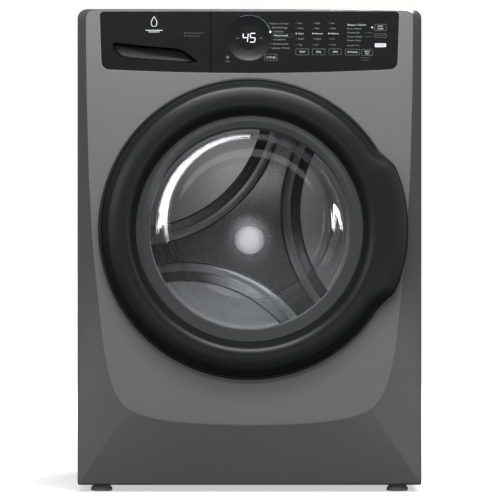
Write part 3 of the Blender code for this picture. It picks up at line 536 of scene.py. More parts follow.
def drum_steel(name, pierced):
    steel = Finish(name, (0.62, 0.63, 0.635), 0.30, 1.0)
    brush = steel.noise(40.0, 4.0, (1.0, 22.0, 1.0)) if pierced else steel.noise(90.0, 4.0, (1.0, 1.0, 14.0))
    sheet, holes = steel.shaded(brush, 0.86, 1.08), 0.0
    steel.set(Base_Color=sheet, Roughness=0.24 + brush * 0.12 + steel.noise(6.0) * 0.06)
    if pierced:
        angle, depth = drum_places(steel)
        holes = (staggered(angle * DRUM_REACH, depth, HOLE_PITCH, HOLE_SIZE)
                 * depth.ramp(PIERCED_FROM, PIERCED_FROM + 0.003)
                 * (1 - depth.ramp(PIERCED_TO, PIERCED_TO + 0.003)))
        # the holes are painted near-black: painted shade for the dark inside each hole, over a shallow dip in
        # the bump
        steel.set(Base_Color=steel.mixed(holes, sheet, (0.012, 0.012, 0.012)))
    return steel.bumped(brush * 0.15 - holes, 0.0003)


FINISHES["drum_steel"] = drum_steel("drum_steel", True)
BACK_STEEL = drum_steel("drum_back_steel", False)
print("drum steel", len(BACK_STEEL.tree.nodes), "nodes")


# %% Other metals
def metal(name, colour, roughness, brush=(1.0, 1.0, 12.0), pits=0.0):
    made = Finish(name, colour, roughness, 1.0)
    streak, grit = made.noise(120.0, 3.0, brush), made.noise(700.0, 2.0)
    made.set(Base_Color=made.shaded(streak * 0.5 + grit * 0.5, 0.85, 1.1),
             Roughness=roughness + (grit - 0.5) * 0.15)
    return made.bumped(streak * 0.3 + grit * pits, 0.0001)


FINISHES["cast_alloy"] = metal("cast_alloy", (0.50, 0.51, 0.52), 0.50, (1.0, 1.0, 1.0), 1.0)
FINISHES["hinge_steel"] = metal("hinge_steel", (0.60, 0.61, 0.62), 0.26)
FINISHES["spring_steel"] = metal("spring_steel", (0.34, 0.35, 0.37), 0.35, (1.0, 1.0, 3.0))
FINISHES["motor_alloy"] = metal("motor_alloy", (0.44, 0.45, 0.46), 0.42, (8.0, 8.0, 1.0), 0.5)
ZINC = metal("zinc_screws", (0.55, 0.56, 0.57), 0.30, (1.0, 1.0, 1.0), 0.4)
# a darker copy of the drum's steel: painted shade for the dark reflections on the star and its slope
SHADED_STAR_STEEL = metal("star_steel", (0.25, 0.253, 0.26), 0.26, (14.0, 1.0, 1.0))
print("metals ready")

# %% [markdown]
# ### Rubber, stone, print and light
# Rubber has a dusty bloom and no clear highlight. The counterweight is concrete with voids. Print on the
# console is a dim or bright ink, and the display's number and its arc shine with their own light.

# %% Rubber, concrete, print and light
def rubber(name, colour, roughness=0.62):
    made = Finish(name, colour, roughness, Sheen_Weight=0.25, Sheen_Roughness=0.5)
    bloom, grain = made.noise(18.0, 4.0), made.noise(800.0, 2.0)
    made.set(Base_Color=made.shaded(bloom, 0.8, 1.25), Roughness=roughness + (bloom - 0.5) * 0.2)
    return made.bumped(grain, 0.00004)


def concrete():
    made = Finish("counterweight_stone", (0.36, 0.35, 0.335), 0.9)
    sand, pits = made.noise(420.0, 4.0), made.noise(70.0, 5.0)
    holes = 1 - pits.ramp(0.30, 0.40)
    # the voids are painted dark: painted shade for the inside of each void, over a dip in the bump
    made.set(Base_Color=made.mixed(holes, made.shaded(sand, 0.7, 1.25), (0.12, 0.115, 0.11)),
             Roughness=0.86 + sand * 0.1)
    return made.bumped(sand * 0.4 - holes, 0.0008)


def ink(name, colour, glow=0.0):
    made = Finish(name, colour, 0.55)
    speck = made.noise(2200.0, 2.0)
    made.set(Base_Color=made.shaded(speck, 0.9, 1.08), Roughness=0.5 + speck * 0.1)
    if glow:
        made.set(Emission_Color=made.shaded(speck, 0.94, 1.0), Emission_Strength=glow)
    return made


# foot_rubber's light grey is partly the rubber's own colour and partly painted light, making up for bounce
# from the floor, which lights nothing here
for name, *look in (("gasket_rubber", (0.17, 0.175, 0.18)), ("hose_rubber", (0.03, 0.03, 0.031)),
                    ("belt_rubber", (0.018, 0.018, 0.018), 0.7), ("foot_rubber", (0.46, 0.465, 0.47), 0.55)):
    FINISHES[name] = rubber(name, *look)
FINISHES["counterweight_stone"] = concrete()
WHITE_INK = ink("white_ink", (0.78, 0.79, 0.80))
GREY_INK = ink("grey_ink", (0.24, 0.245, 0.25))
DIM_INK = ink("dim_ink", (0.085, 0.087, 0.09))
GLOW = ink("number_glow", (0.9, 0.95, 1.0), 0.85)
ARC_GLOW = ink("arc_glow", (0.30, 0.62, 0.66), 0.55)
print("soft finishes ready")

# %% [markdown]
# ### Glass
# The bowl is clear glass a few millimetres thick. Light goes nearly straight through, so each surface is a
# clear shader and a mirror shared out by Fresnel, with a limit that keeps the steep wall from turning into
# a mirror. Its sloping rim is printed grey on the back, which hides the seal. The grey is made lighter than
# the print's own, as painted light for the lamps that leave the glass out, and fine rings in it are painted
# highlights for the light lines on the rim's ridges.

# %% Bowl glass
PRINT_FROM, PRINT_FULL = 0.1995, 0.2025      # how far from the axis the grey print starts
MOST_MIRROR = 0.34


def bowl_glass():
    # the print's grey is lighter than its own: painted light standing in for the lamps that are kept off the
    # glass
    glass = Finish("bowl_glass", (0.36, 0.364, 0.37), 0.16, 0.0)
    x, y, z = glass.axes()
    up = z - DOOR_Z
    away = x.math("SQRT", x * x + up * up)
    rim = away.ramp(PRINT_FROM, PRINT_FULL)
    # fine rings painted lighter and darker in the print: painted highlights for the light lines on the rim's
    # ridges
    fine = abs((away * 320) % 1 - 0.5) * 2
    smear = glass.noise(7.0, 2.0)
    glass.set(Base_Color=glass.shaded(fine * 0.6 + smear * 0.4, 0.75, 1.35), Roughness=0.14 + smear * 0.08)
    clear = glass.node("ShaderNodeBsdfTransparent", values={"Color": (0.93, 0.94, 0.945, 1)})
    gloss = glass.node("ShaderNodeBsdfGlossy", values={"Color": (1, 1, 1, 1), "Roughness": 0.02})
    edge = glass.node("ShaderNodeFresnel", values={"IOR": 1.45})
    edge = edge.math("MINIMUM", edge, MOST_MIRROR)
    pane = glass.node("ShaderNodeMixShader", values={0: edge, 1: clear, 2: gloss})
    print_coat = Signal(glass, glass.shader.outputs[0])
    whole = glass.node("ShaderNodeMixShader", values={0: rim * 0.93, 1: pane, 2: print_coat})
    glass.tree.links.new(whole.socket, glass.tree.nodes["Material Output"].inputs["Surface"])
    return glass


FINISHES["bowl_glass"] = bowl_glass()

# %% [markdown]
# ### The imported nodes
# Every node takes the finish of its slot, and pressed or cast ones get their sharp edges rounded by a
# modifier. Those that a finer piece stands for are hidden later.

# %% Dress the nodes
SLOT_OF = {row["node"]: row["material_slot"] for row in frame["record"]["subparts"]}
EASED = {"base_frame": 0.0006, "dispenser_housing": 0.0008, "door_lock": 0.0012, "hinge_bracket": 0.0006,
         "hinge_arm": 0.0008, "latch_hook": 0.0006, "drain_pump": 0.0012, "pump_impeller": 0.0005,
         "front_counterweight": 0.004, "motor": 0.002, "drum_spider": 0.002, "drum_pulley": 0.001,
         "tub_front": 0.0015, "tub_rear": 0.0015, "left_damper_rod": 0.0008, "right_damper_rod": 0.0008,
         "left_damper_cylinder": 0.0008, "right_damper_cylinder": 0.0008, "hinge_pin": 0.0006,
         "drum_bearing": 0.0008, "motor_pulley": 0.0006, "drive_belt": 0.0006}
for node, piece in frame["nodes"].items():
    piece.data.materials.clear()
    piece.data.materials.append(FINISHES[SLOT_OF[node]].material)
    if node in EASED:
        eased(piece, EASED[node], 2, 50)
print(len(SLOT_OF), "nodes dressed,", len(EASED), "eased")

# %% [markdown]
# ## Front panel
# The front is one deep pressing: flat sides, a slope that rises from them, and a raised face that ends in a
# soft curve under the door. Rings of points run round the door's centre, so the round hole and the square
# edge share one surface. The console's hole is cut out of the flat face afterwards.

# %% Outlines of the front
def mirrored(right, low, high=None):
    """A full outline from its right half, from the bottom middle and up."""
    return ([low] if low else []) + right + ([high] if high else []) + [(-x, z) for x, z in reversed(right)]


RAISED_RIGHT = [(0.100, 0.138), (0.160, 0.1435), (0.203, 0.151), (0.238, 0.165), (0.260, 0.185),
                (0.276, 0.223), (0.289, 0.283), (0.301, 0.390), (0.312, 0.500), (0.319, 0.630),
                (0.3235, 0.800), (0.325, 0.945), (0.3225, 0.953), (0.314, 0.959)]
RAISED = softened(mirrored(RAISED_RIGHT, (0, 0.135)), 0.022, 4)
PANEL_LOW, PANEL_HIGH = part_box("front_panel")[0].z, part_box("front_panel")[1].z
SHEET, CORNER_R, FOLD_R = 0.0013, 0.018, 0.004


def front_edge(inset=0.0):
    low, high, half = PANEL_LOW + inset, PANEL_HIGH - inset, SIDE_X - inset
    return mirrored(arc(half - FOLD_R, low + FOLD_R, FOLD_R, -90, 0, 4)
                    + arc(half - CORNER_R, high - CORNER_R, CORNER_R, 0, 90, 10), None)


def reach(outline, angle):
    """How far an outline is from the door's centre in one direction."""
    ux, uz, far = math.cos(angle), math.sin(angle), 0.0
    for (x1, z1), (x2, z2) in zip(outline, outline[1:] + outline[:1]):
        side1, side2 = ux * (z1 - DOOR_Z) - uz * x1, ux * (z2 - DOOR_Z) - uz * x2
        if side1 * side2 <= 0 and side1 != side2:
            share = side1 / (side1 - side2)
            far = max(far, (x1 + share * (x2 - x1)) * ux + (z1 + share * (z2 - z1) - DOOR_Z) * uz)
    return far


def directions(*outlines, even=240, apart=0.0025):
    angles = []
    for outline in outlines:
        for x, z in outline:
            angle = math.atan2(z - DOOR_Z, x) % (2 * math.pi)
            if all(abs(angle - other) > apart for other in angles):
                angles.append(angle)
    for step in range(even):
        angle = 2 * math.pi * step / even
        if all(abs(angle - other) > 0.012 for other in angles):
            angles.append(angle)
    return sorted(angles)


print("raised face outline", len(RAISED), "points")

# %% Front panel
HOLE_R = 0.212
# (share of the way from the panel's edge to the raised face, depth) across the slope
SLOPE = ((0.0, 0.055), (0.0, 0.0275), (0.004, 0.0262), (0.014, 0.0252), (0.035, 0.0243), (0.25, 0.0188),
         (0.6, 0.0100), (0.94, 0.0015), (0.965, 0.0008), (0.985, 0.0002), (1.0, 0.0))
LIP = ((HOLE_R + 0.004, 0.0), (HOLE_R + 0.0016, 0.0003), (HOLE_R + 0.0004, 0.0014), (HOLE_R, 0.003),
       (HOLE_R, 0.012))


def front_panel():
    rim = front_edge()
    angles = directions(RAISED, rim)
    rim_at, face_at = [reach(rim, a) for a in angles], [reach(RAISED, a) for a in angles]

    def ring(distances, depth):
        return [(d * math.cos(a), FACE_Y + depth, DOOR_Z + d * math.sin(a))
                for d, a in zip(distances, angles)]

    rings = [ring([r + (f - r) * share for r, f in zip(rim_at, face_at)], depth) for share, depth in SLOPE]
    rings += [ring([f + (HOLE_R - f) * share for f in face_at], 0.0) for share in (0.04, 0.5)]
    rings += [ring([radius] * len(angles), depth) for radius, depth in LIP]
    panel = skin("front_panel_skin", rings, crease=42)
    sheet = panel.modifiers.new("sheet", "SOLIDIFY")
    sheet.thickness, sheet.offset, sheet.use_even_offset = SHEET, -1, False
    return settled(panel)


print("front panel profile", len(SLOPE) + len(LIP), "rings")

# %% [markdown]
# The console has a straight top and a lower edge that sags a little to the middle. The same outline, grown
# by half a millimetre, cuts the hole in the panel, and a thin bead follows the cut as the trim does on the
# machine. Its light grey is partly the trim's own colour and partly a painted highlight along the cut edge.

# %% Console outline
SIDE_LOW, SAG, TOP_HALF, LOW_HALF = 0.8415, 0.0078, 0.2975, 0.2945


def console_low(x):
    return SIDE_LOW - SAG * (1 - (x / LOW_HALF) ** 2)


def console_outline(left=None, right=None, grow=0.0, steps=24):
    low_r, top_r = 0.016 + grow, 0.008 + grow
    low_x, top_x, top_z = LOW_HALF + grow - low_r, TOP_HALF + grow - top_r, CONSOLE_TOP + grow
    x0, x1 = -low_x if left is None else left, low_x if right is None else right
    outline = [] if left is not None else arc(x0, console_low(x0) - grow + low_r, low_r, 180, 266, 8)
    outline += [(x0 + (x1 - x0) * i / steps, console_low(x0 + (x1 - x0) * i / steps) - grow)
                for i in range(steps + 1)]
    if right is None:
        outline += arc(x1, console_low(x1) - grow + low_r, low_r, 274, 360, 8)
        outline += arc(top_x, top_z - top_r, top_r, 0, 90, 6)
    else:
        outline.append((x1, top_z))
    return outline + (arc(-top_x, top_z - top_r, top_r, 90, 180, 6) if left is None else [(x0, top_z)])


panel = front_panel()
latch = middle("latch_hook")
cut(panel, slab("console_hole", [console_outline(grow=0.0005)], FACE_Y - 0.01, FACE_Y + 0.02),
    slab("latch_hole", [rounded(latch.x, DOOR_Z, 0.017, 0.033, 0.003)], FACE_Y - 0.01, FACE_Y + 0.01))
panel.modifiers.new("flats", "WEIGHTED_NORMAL").keep_sharp = True
panel.data.shade_smooth()
panel.data.set_sharp_from_angle(angle=math.radians(42))
show(panel, "cabinet", "cabinet_paint", ["front_panel"])
print("front panel", len(panel.data.polygons), "faces")

# %% Console bead
bead_line = [(x, FACE_Y + 0.0004, z) for x, z in console_outline(grow=0.0004)]
bead = tube("console_bead", bead_line, 0.0006, 8, closed=True)
show(bead, "cabinet", "cabinet_paint", finish=BEAD_HIGHLIGHT_GREY)
print("console bead", len(bead_line), "points")

# %% [markdown]
# ## Side, top and rear panels
# A flat sheet this size would drum, so makers press shallow fields and ribs into it. Nested outlines at
# different heights, skinned together, make such a pressing. The rear carries a screwed cover over the belt.

# %% Pressed sheets
def pressed(name, rings, place):
    """Nested (outline, height) rings skinned and closed; height is along the place's Y."""
    stack = [[place @ Vector((x, height, up)) for x, up in outline] for outline, height in rings]
    inner = rings[-1][0]
    centre = (sum(x for x, _ in inner) / len(inner), sum(z for _, z in inner) / len(inner))
    stack.append([place @ Vector((centre[0], rings[-1][1], centre[1]))])
    return skin(name, stack, crease=50)


def field(x, up, wide, high, radius, heights, slope=0.004):
    """Rings of a shallow pressed field: each step is one slope further in."""
    rings = []
    for i, height in enumerate(heights):
        inset = slope * i
        rings.append((rounded(x, up, wide - 2 * inset, high - 2 * inset, max(radius - inset, 0.003), 8),
                      height))
    return rings


def side_panel(side, node):
    low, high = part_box(node)
    across, mid_z = side * (low.y + high.y) / 2, (low.z + high.z) / 2
    wide, tall = high.y - low.y, high.z - low.z
    place = Matrix.Translation((side * SIDE_X, 0, 0)) @ Matrix.Rotation(math.radians(90 * side), 4, "Z")
    # (less width, less height, height): the folded flange and its soft corner
    flange = ((0.0002, 0.0, 0.011), (0.0002, 0.0, 0.0015), (0.0010, 0.0008, 0.0005), (0.0026, 0.0024, 0.0))
    rings = [(rounded(across, mid_z, wide - narrow, tall - short, 0.0015, 8), height)
             for narrow, short, height in flange]
    for border, margin, radius, heights in (
            (0.09, 0.13, 0.045, (0.0, 0.0004, 0.0016, 0.0026, 0.0030, 0.0030)),
            (0.22, 0.30, 0.035, (0.0030, 0.0026, 0.0012, 0.0006, 0.0004, 0.0004))):
        rings += field(across, mid_z - 0.01, wide - border, tall - margin, radius, heights, 0.0035)
    return show(pressed(node + "_skin", rings, place), "cabinet", "cabinet_paint", [node])


for side, node in ((-1, "left_side_panel"), (1, "right_side_panel")):
    print(side_panel(side, node).name)

# %% Top panel
def top_panel():
    low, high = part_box("top_panel")
    rings = []
    for y, inset in ((low.y, 0.0022), (low.y + 0.0003, 0.0010), (low.y + 0.0012, 0.0002), (low.y + 0.003, 0.0),
                     (high.y - 0.003, 0.0), (high.y - 0.001, 0.0003), (high.y, 0.0012)):
        half, top = SIDE_X - inset, TOP_Z - inset
        right = [(half, low.z)] + arc(half - CORNER_R, top - CORNER_R, CORNER_R, 0, 90, 12)
        outline = right + [(-x, z) for x, z in reversed(right)]
        rings.append([(x, y, z) for x, z in outline])
    lid = skin("top_panel_skin", rings, ring_closed=False, crease=50)
    sheet = lid.modifiers.new("sheet", "SOLIDIFY")
    sheet.thickness, sheet.offset = SHEET, -1
    return settled(lid)


show(top_panel(), "cabinet", "cabinet_paint", ["top_panel"])
print("top panel placed")


# %% Screws
def screw(place, radius=0.0042, proud=0.0022):
    """A pan head with a cross recess; the place's -Y is its outside."""
    head = turned("head", [(0, -proud), (radius * 0.55, -proud * 0.97), (radius * 0.85, -proud * 0.72),
                           (radius, -proud * 0.25), (radius, 0.0006), (0, 0.0006)], place, 20)
    size, deep = radius * 0.52, proud * 0.5
    for wide, high in ((size, size * 0.24), (size * 0.24, size)):
        outline = [(-wide, -high), (wide, -high), (wide, high), (-wide, high)]
        cut(head, slab("cross", [outline], -proud * 2, -proud + deep, place=place))
    return head


FIRST_SCREW = screw(Matrix())
SCREW_MESH = FIRST_SCREW.data
bpy.data.objects.remove(FIRST_SCREW)


def screws(name, places, body):
    """Copies of one screw, as one piece."""
    work = bmesh.new()
    for place in places:
        copy = SCREW_MESH.copy()
        copy.transform(place)
        work.from_mesh(copy)
        bpy.data.meshes.remove(copy)
    return show(from_work(name, work), body, "hinge_steel", finish=ZINC)


print("screw head", len(SCREW_MESH.polygons), "faces")

# %% Rear panel
BACK = Matrix.Translation((0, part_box("rear_panel")[1].y, 0)) @ Matrix.Rotation(math.pi, 4, "Z")
PORTS = {"hot_inlet_valve": 0.0145, "cold_inlet_valve": 0.0145, "drain_outlet": 0.0172, "cord_gland": 0.0130}
COVER_Z = 0.455


def rear_panel():
    low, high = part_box("rear_panel")
    right = (arc(SIDE_X - FOLD_R, low.z + FOLD_R, FOLD_R, -90, 0, 4)
             + arc(SIDE_X - CORNER_R, high.z - CORNER_R, CORNER_R, 0, 90, 10))
    holes = [ring_outline(radius, 40, middle(node).x, middle(node).z) for node, radius in PORTS.items()]
    sheet = slab("rear_panel_skin", [mirrored(right, None)] + holes, low.y, high.y, 0.0005)
    return show(sheet, "cabinet", "cabinet_paint", ["rear_panel"])


def rear_cover():
    cover = field(0.0, COVER_Z, 0.50, 0.56, 0.10,
                  (0.0003, -0.0022, -0.0026, -0.0026, -0.0014, -0.0010, -0.0010))
    cover += field(0.0, COVER_Z, 0.36, 0.42, 0.12, (-0.0010, -0.0014, -0.0042, -0.0048, -0.0050, -0.0050),
                   0.005)
    return show(pressed("rear_cover", cover, BACK), "cabinet", "cabinet_paint")


def rear_ribs():
    """Nine louvres low down on each side and three long ribs near the top."""
    rows = [slab("louvre", [rounded(side * 0.285, 0.20 + i * 0.014, 0.040, 0.0048, 0.0023, 4)], -0.0016,
                 0.0002, 0.0008, place=BACK) for side in (-1, 1) for i in range(9)]
    rows += [slab("rib", [rounded(0, 0.795 + i * 0.022, 0.24, 0.009, 0.0044, 5)], -0.0018, 0.0002, 0.0012,
                  place=BACK) for i in range(3)]
    return show(joined("rear_ribs", rows), "cabinet", "cabinet_paint")


def rear_screws():
    on_cover = [(x, z) for x in (-0.238, 0.238) for z in (0.20, COVER_Z, 0.71)] + [(0, 0.186), (0, 0.724)]
    on_sheet = [(x, z) for x in (-0.325, 0.325) for z in (0.04, 0.30, 0.58, 0.84)]
    on_sheet += [(x, 0.945) for x in (-0.2, 0, 0.2)]
    return screws("rear_screws", [BACK @ Matrix.Translation((x, lift, z)) for spots, lift in
                                  ((on_cover, -0.0024), (on_sheet, 0)) for x, z in spots], "cabinet")


print([piece.name for piece in (rear_panel(), rear_cover(), rear_ribs(), rear_screws())])

# %% [markdown]
# ## Feet
# Each levelling foot is a rubber-shod pad under a threaded stem with a lock nut. The pad is turned, the
# thread is a stack of small crests, and the six-sided nut is a plate with eased corners.

# %% Feet
PAD_TOP, THREAD_R, CREST_R, THREAD_PITCH, NUT_R = 0.0120, 0.0042, 0.0048, 0.00125, 0.0085


def foot(node, body):
    spot = middle(node)
    upright = Matrix.Translation((spot.x, spot.y, 0)) @ Matrix.Rotation(math.radians(90), 4, "X")
    pad = [(0, 0), (0.0190, 0), (0.0207, 0.0006), (0.0215, 0.0020), (0.0215, 0.0060), (0.0207, 0.0075),
           (0.0195, 0.0080), (0.0188, 0.0088), (0.0176, 0.0112), (0.0160, 0.0119), (0.006, PAD_TOP),
           (0, PAD_TOP)]
    shoe = turned(node + "_shoe", pad, upright, 40)
    show(shoe, body, "foot_rubber", [node])
    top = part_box(node)[1].z
    crests, high = [(0.0, PAD_TOP - 0.0002), (THREAD_R, PAD_TOP - 0.0002)], PAD_TOP + 0.0005
    while high < top - 0.0015:
        crests += [(CREST_R, high), (THREAD_R, high + 0.0006)]
        high += THREAD_PITCH
    crests += [(THREAD_R, top - 0.0006), (THREAD_R - 0.0008, top), (0.0, top)]
    stem = turned(node + "_stem", crests, upright, 20)
    show(stem, body, "foot_rubber", finish=ZINC)
    nut = slab(node + "_nut", [ring_outline(NUT_R, 6)], PAD_TOP + 0.0003, PAD_TOP + 0.0030, 0.0005,
               place=upright)
    return show(nut, body, "foot_rubber", finish=ZINC)


for row in ("front", "rear"):
    for hand in ("left", "right"):
        print(foot(f"foot_{row}_{hand}", f"leg_{row}_{hand}").name)

# %% [markdown]
# ## Control fascia
# The fascia is one thick moulded plate with a round dish for the display and a shallow pocket for each key.
# Its front stands a hair behind the panel's face. The dish is a separate turned piece, so its slope stays
# smooth.

# %% Fascia and dish
KEYS = [node for node in frame["nodes"] if node.startswith("key_")]
DISH_R, DISH_DEPTH = 0.0455, 0.0058
LENS_R, LENS_DEPTH = 0.0375, 0.0029
CONSOLE_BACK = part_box("control_fascia")[1].y


def key_outline(node, grow=0.0, radius=0.0022):
    low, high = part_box(node)
    return rounded((low.x + high.x) / 2, (low.z + high.z) / 2, high.x - low.x + 2 * grow,
                   high.z - low.z + 2 * grow, radius + grow)


holes = [key_outline(node, 0.0003) for node in KEYS]
holes.append(ring_outline(DISH_R, 96, DISPLAY.x, DISPLAY.z))
fascia = slab("fascia", [console_outline(left=SEAM_X)] + holes, CONSOLE_Y, CONSOLE_BACK, 0.0007)
show(fascia, "cabinet", "console_black", ["control_fascia"])
DIAL = Matrix.Translation((DISPLAY.x, CONSOLE_Y, DISPLAY.z))
dish_profile = softened([(DISH_R, 0.0004), (0.0448, 0.0004), (0.0392, 0.0052), (0.0378, DISH_DEPTH),
                         (0.0, DISH_DEPTH)], 0.0012, 5, closed=False)
show(turned("display_dish", dish_profile, DIAL, 120), "cabinet", "console_black")
lens_profile = softened([(0.0, LENS_DEPTH), (0.0360, LENS_DEPTH), (LENS_R, 0.0036), (LENS_R, 0.0055),
                         (0.0, 0.0055)], 0.0008, 4, closed=False)
show(turned("display_pane", lens_profile, DIAL, 96), "cabinet", "console_black", ["display_lens"])
print("fascia with", len(holes), "openings")

# %% [markdown]
# ### Keys
# The keys are touch pads under the same gloss skin, each marked by a thin printed frame. Every key is a
# slab with soft edges that rides on its own body, and its frame and caption ride with it.

# %% Print
PRINT_LIFT, FRAME_LIFT, CAPTION_LIFT = 0.00012, 0.00032, 0.00044


def word(text, x, z, tall, wide=None, align="LEFT"):
    """Flat letters as (points, faces) in the console's plane, in the built-in font."""
    curve = bpy.data.curves.new("word", "FONT")
    curve.body, curve.size, curve.align_x, curve.resolution_u = text, 1.0, "LEFT", 3
    guide = bpy.data.objects.new("word", curve)
    bpy.context.scene.collection.objects.link(guide)
    mesh = bpy.data.meshes.new_from_object(guide.evaluated_get(bpy.context.evaluated_depsgraph_get()))
    bpy.data.objects.remove(guide)
    left, right = min(v.co.x for v in mesh.vertices), max(v.co.x for v in mesh.vertices)
    size = tall / 0.70
    stretch = wide / (right - left) if wide else size
    shift = {"LEFT": 0.0, "CENTER": 0.5, "RIGHT": 1.0}[align] * (right - left) * stretch
    points = [(x + (v.co.x - left) * stretch - shift, z + v.co.y * size - tall / 2) for v in mesh.vertices]
    faces = [tuple(p.vertices) for p in mesh.polygons]
    bpy.data.meshes.remove(mesh)
    return points, faces


def band(outline, width):
    """A thin printed line along a closed outline."""
    cx, cz = (sum(p[k] for p in outline) / len(outline) for k in (0, 1))
    half_x = max(abs(x - cx) for x, _ in outline)
    half_z = max(abs(z - cz) for _, z in outline)
    inner = [(cx + (x - cx) * (1 - width / half_x), cz + (z - cz) * (1 - width / half_z)) for x, z in outline]
    count = len(outline)
    return outline + inner, [(i, (i + 1) % count, count + (i + 1) % count, count + i) for i in range(count)]


def patch(outline):
    return list(outline), [tuple(range(len(outline)))]


def dot(x, z, radius=0.0011):
    return patch(ring_outline(radius, 16, x, z))


def bar(x, z, wide, high):
    return patch(rounded(x, z, wide, high, min(wide, high) * 0.3, 3))


def printed(name, shapes, body, finish, lift=PRINT_LIFT):
    """Flat shapes laid on the console's skin as one piece."""
    work = bmesh.new()
    for points, faces in shapes:
        corners = [work.verts.new((x, CONSOLE_Y - lift, z)) for x, z in points]
        for face in faces:
            try:
                work.faces.new([corners[i] for i in face])
            except ValueError:
                continue
    bmesh.ops.recalc_face_normals(work, faces=work.faces)
    return show(from_work(name, work), body, "console_black", finish=finish)


CAPTIONS = {"key_cycles": ("CYCLES",), "key_temp": ("TEMP",), "key_soil": ("SOIL",), "key_spin": ("SPIN",),
            "key_options": ("OPTIONS",), "key_delay": ("DELAY", "END"), "key_start": ("START", "PAUSE"),
            "key_cancel": ("CANCEL",), "key_power": ("ON OFF",)}
for node in KEYS:
    body, spot, texts = node.replace("key", "button"), middle(node), CAPTIONS[node]
    low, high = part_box(node)
    tall = (high.z - low.z) * (0.20 if len(texts) > 1 else 0.26 if high.z - low.z > 0.011 else 0.34)
    show(slab(node + "_pad", [key_outline(node)], low.y, high.y, 0.0005), body, "console_black", [node])
    rows = [word(text, spot.x, spot.z + ((len(texts) - 1) / 2 - i) * tall * 1.7, tall, align="CENTER")
            for i, text in enumerate(texts)]
    if node == "key_power":
        # the power key is a white block with dark letters
        outline = patch(key_outline(node, -0.0009))
        line_ink, letter_ink = WHITE_INK, FINISHES["console_black"]
    else:
        outline, line_ink = band(key_outline(node, -0.0007), 0.00042), GREY_INK
        letter_ink = DIM_INK if node == "key_cancel" else WHITE_INK
    printed(node + "_frame", [outline], body, line_ink, FRAME_LIFT)
    printed(node + "_caption", rows, body, letter_ink, CAPTION_LIFT)
print(len(KEYS), "keys")

# %% [markdown]
# ### Words beside the keys
# A wash programme list, three columns of settings and a column of options are printed on the fascia, with a
# lit dot at the chosen value of each. The words are the ordinary ones for any washer.

# %% Fascia print
# text, left end, height, width
CYCLE_ROWS = (("Heavy Duty", 0.0400, 0.9325, 0.038), ("Bedding", 0.0448, 0.9245, 0.030),
              ("Daily", 0.0488, 0.9168, 0.019), ("Normal", 0.0498, 0.9088, 0.026),
              ("Colors", 0.0488, 0.9008, 0.023), ("Delicates", 0.0468, 0.8922, 0.030),
              ("Quick Wash", 0.0438, 0.8838, 0.036))
SETTINGS = (("Hot", "Warm", "Cool", "Cold", "Tap"), ("High", "Mid", "Normal", "Light", "Low"),
            ("Max", "High", "Medium", "Low", "None"))
COLUMN_X, COLUMN_Z = (0.0968, 0.1297, 0.1616), (0.9334, 0.9230, 0.9126, 0.9023, 0.8905)
OPTION_X = 0.1944
OPTION_ROWS = (("Steam Clean", 0.9300, 0.037), ("Extra Rinse", 0.9224, 0.028), ("Prewash", 0.9145, 0.024),
               ("Drum Clean", 0.9065, 0.029), ("Fresh Hold", 0.8990, 0.026), ("Lock 3 s", 0.8892, 0.024))
# middle, height, width
SELECT_ROWS = ((0.2395, 0.9145, 0.020), (0.2395, 0.9065, 0.020), (0.2330, 0.8650, 0.026),
               (0.2330, 0.8602, 0.022))
CLOCK_X, CLOCK_Z = -0.0435, 0.8654
CHOSEN_CYCLE, CHOSEN_SETTING, CHOSEN_OPTION = 3, 2, 0
ROW_TALL, SETTING_TALL, SMALL_TALL, LETTER_WIDE = 0.0031, 0.0030, 0.0024, 0.002604

bright, grey, dim = [], [], []
for i, (text, x, z, wide) in enumerate(CYCLE_ROWS):
    (bright if i == CHOSEN_CYCLE else grey).append(word(text, x, z, ROW_TALL, wide))
    dim.append(dot(x - 0.0032, z, 0.0007))
dim.append(band(rounded(0.0655, CYCLE_ROWS[CHOSEN_CYCLE][2], 0.041, 0.0072, 0.0022), 0.00035))
for x, names in zip(COLUMN_X, SETTINGS):
    for i, (text, z) in enumerate(zip(names, COLUMN_Z)):
        chosen = i == CHOSEN_SETTING
        (bright if chosen else grey).append(word(text, x, z, SETTING_TALL, LETTER_WIDE * len(text)))
        (bright if chosen else dim).append(dot(x - 0.0038, z, 0.0013 if chosen else 0.0008))
for i, (text, z, wide) in enumerate(OPTION_ROWS):
    (bright if i == CHOSEN_OPTION else grey).append(word(text, OPTION_X, z, ROW_TALL, wide))
dim += [word("select", x - wide / 2, z, SMALL_TALL, wide * 0.8) for x, z, wide in SELECT_ROWS]
start_key = middle("key_start")
bright.append(dot(start_key.x - 0.0166, start_key.z, 0.0016))
grey += [band(ring_outline(0.0028, 24, CLOCK_X, CLOCK_Z), 0.0007),
         bar(CLOCK_X, CLOCK_Z + 0.0006, 0.0008, 0.0032),
         word("Clock", CLOCK_X, CLOCK_Z - 0.0079, SMALL_TALL, align="CENTER")]
beside_number = [word(text, DISPLAY.x + side * 0.0240, DISPLAY.z - 0.0005, SETTING_TALL, align="CENTER")
                 for side, text in ((-1, "Time"), (1, "min"))]
printed("print_bright", bright, "cabinet", WHITE_INK)
printed("print_grey", grey, "cabinet", GREY_INK)
printed("print_dim", dim, "cabinet", DIM_INK)
printed("pane_words", beside_number, "cabinet", GREY_INK, PRINT_LIFT - LENS_DEPTH)
print(len(bright), "bright and", len(grey), "grey marks")

# %% [markdown]
# ### Display
# The number is made of seven-segment bars, slightly leaned, that glow behind the lens. A lit arc runs round
# the dish above it to show how far the programme has gone.

# %% Number and arc
SEGMENTS = {"4": "bcfg", "5": "acdfg"}


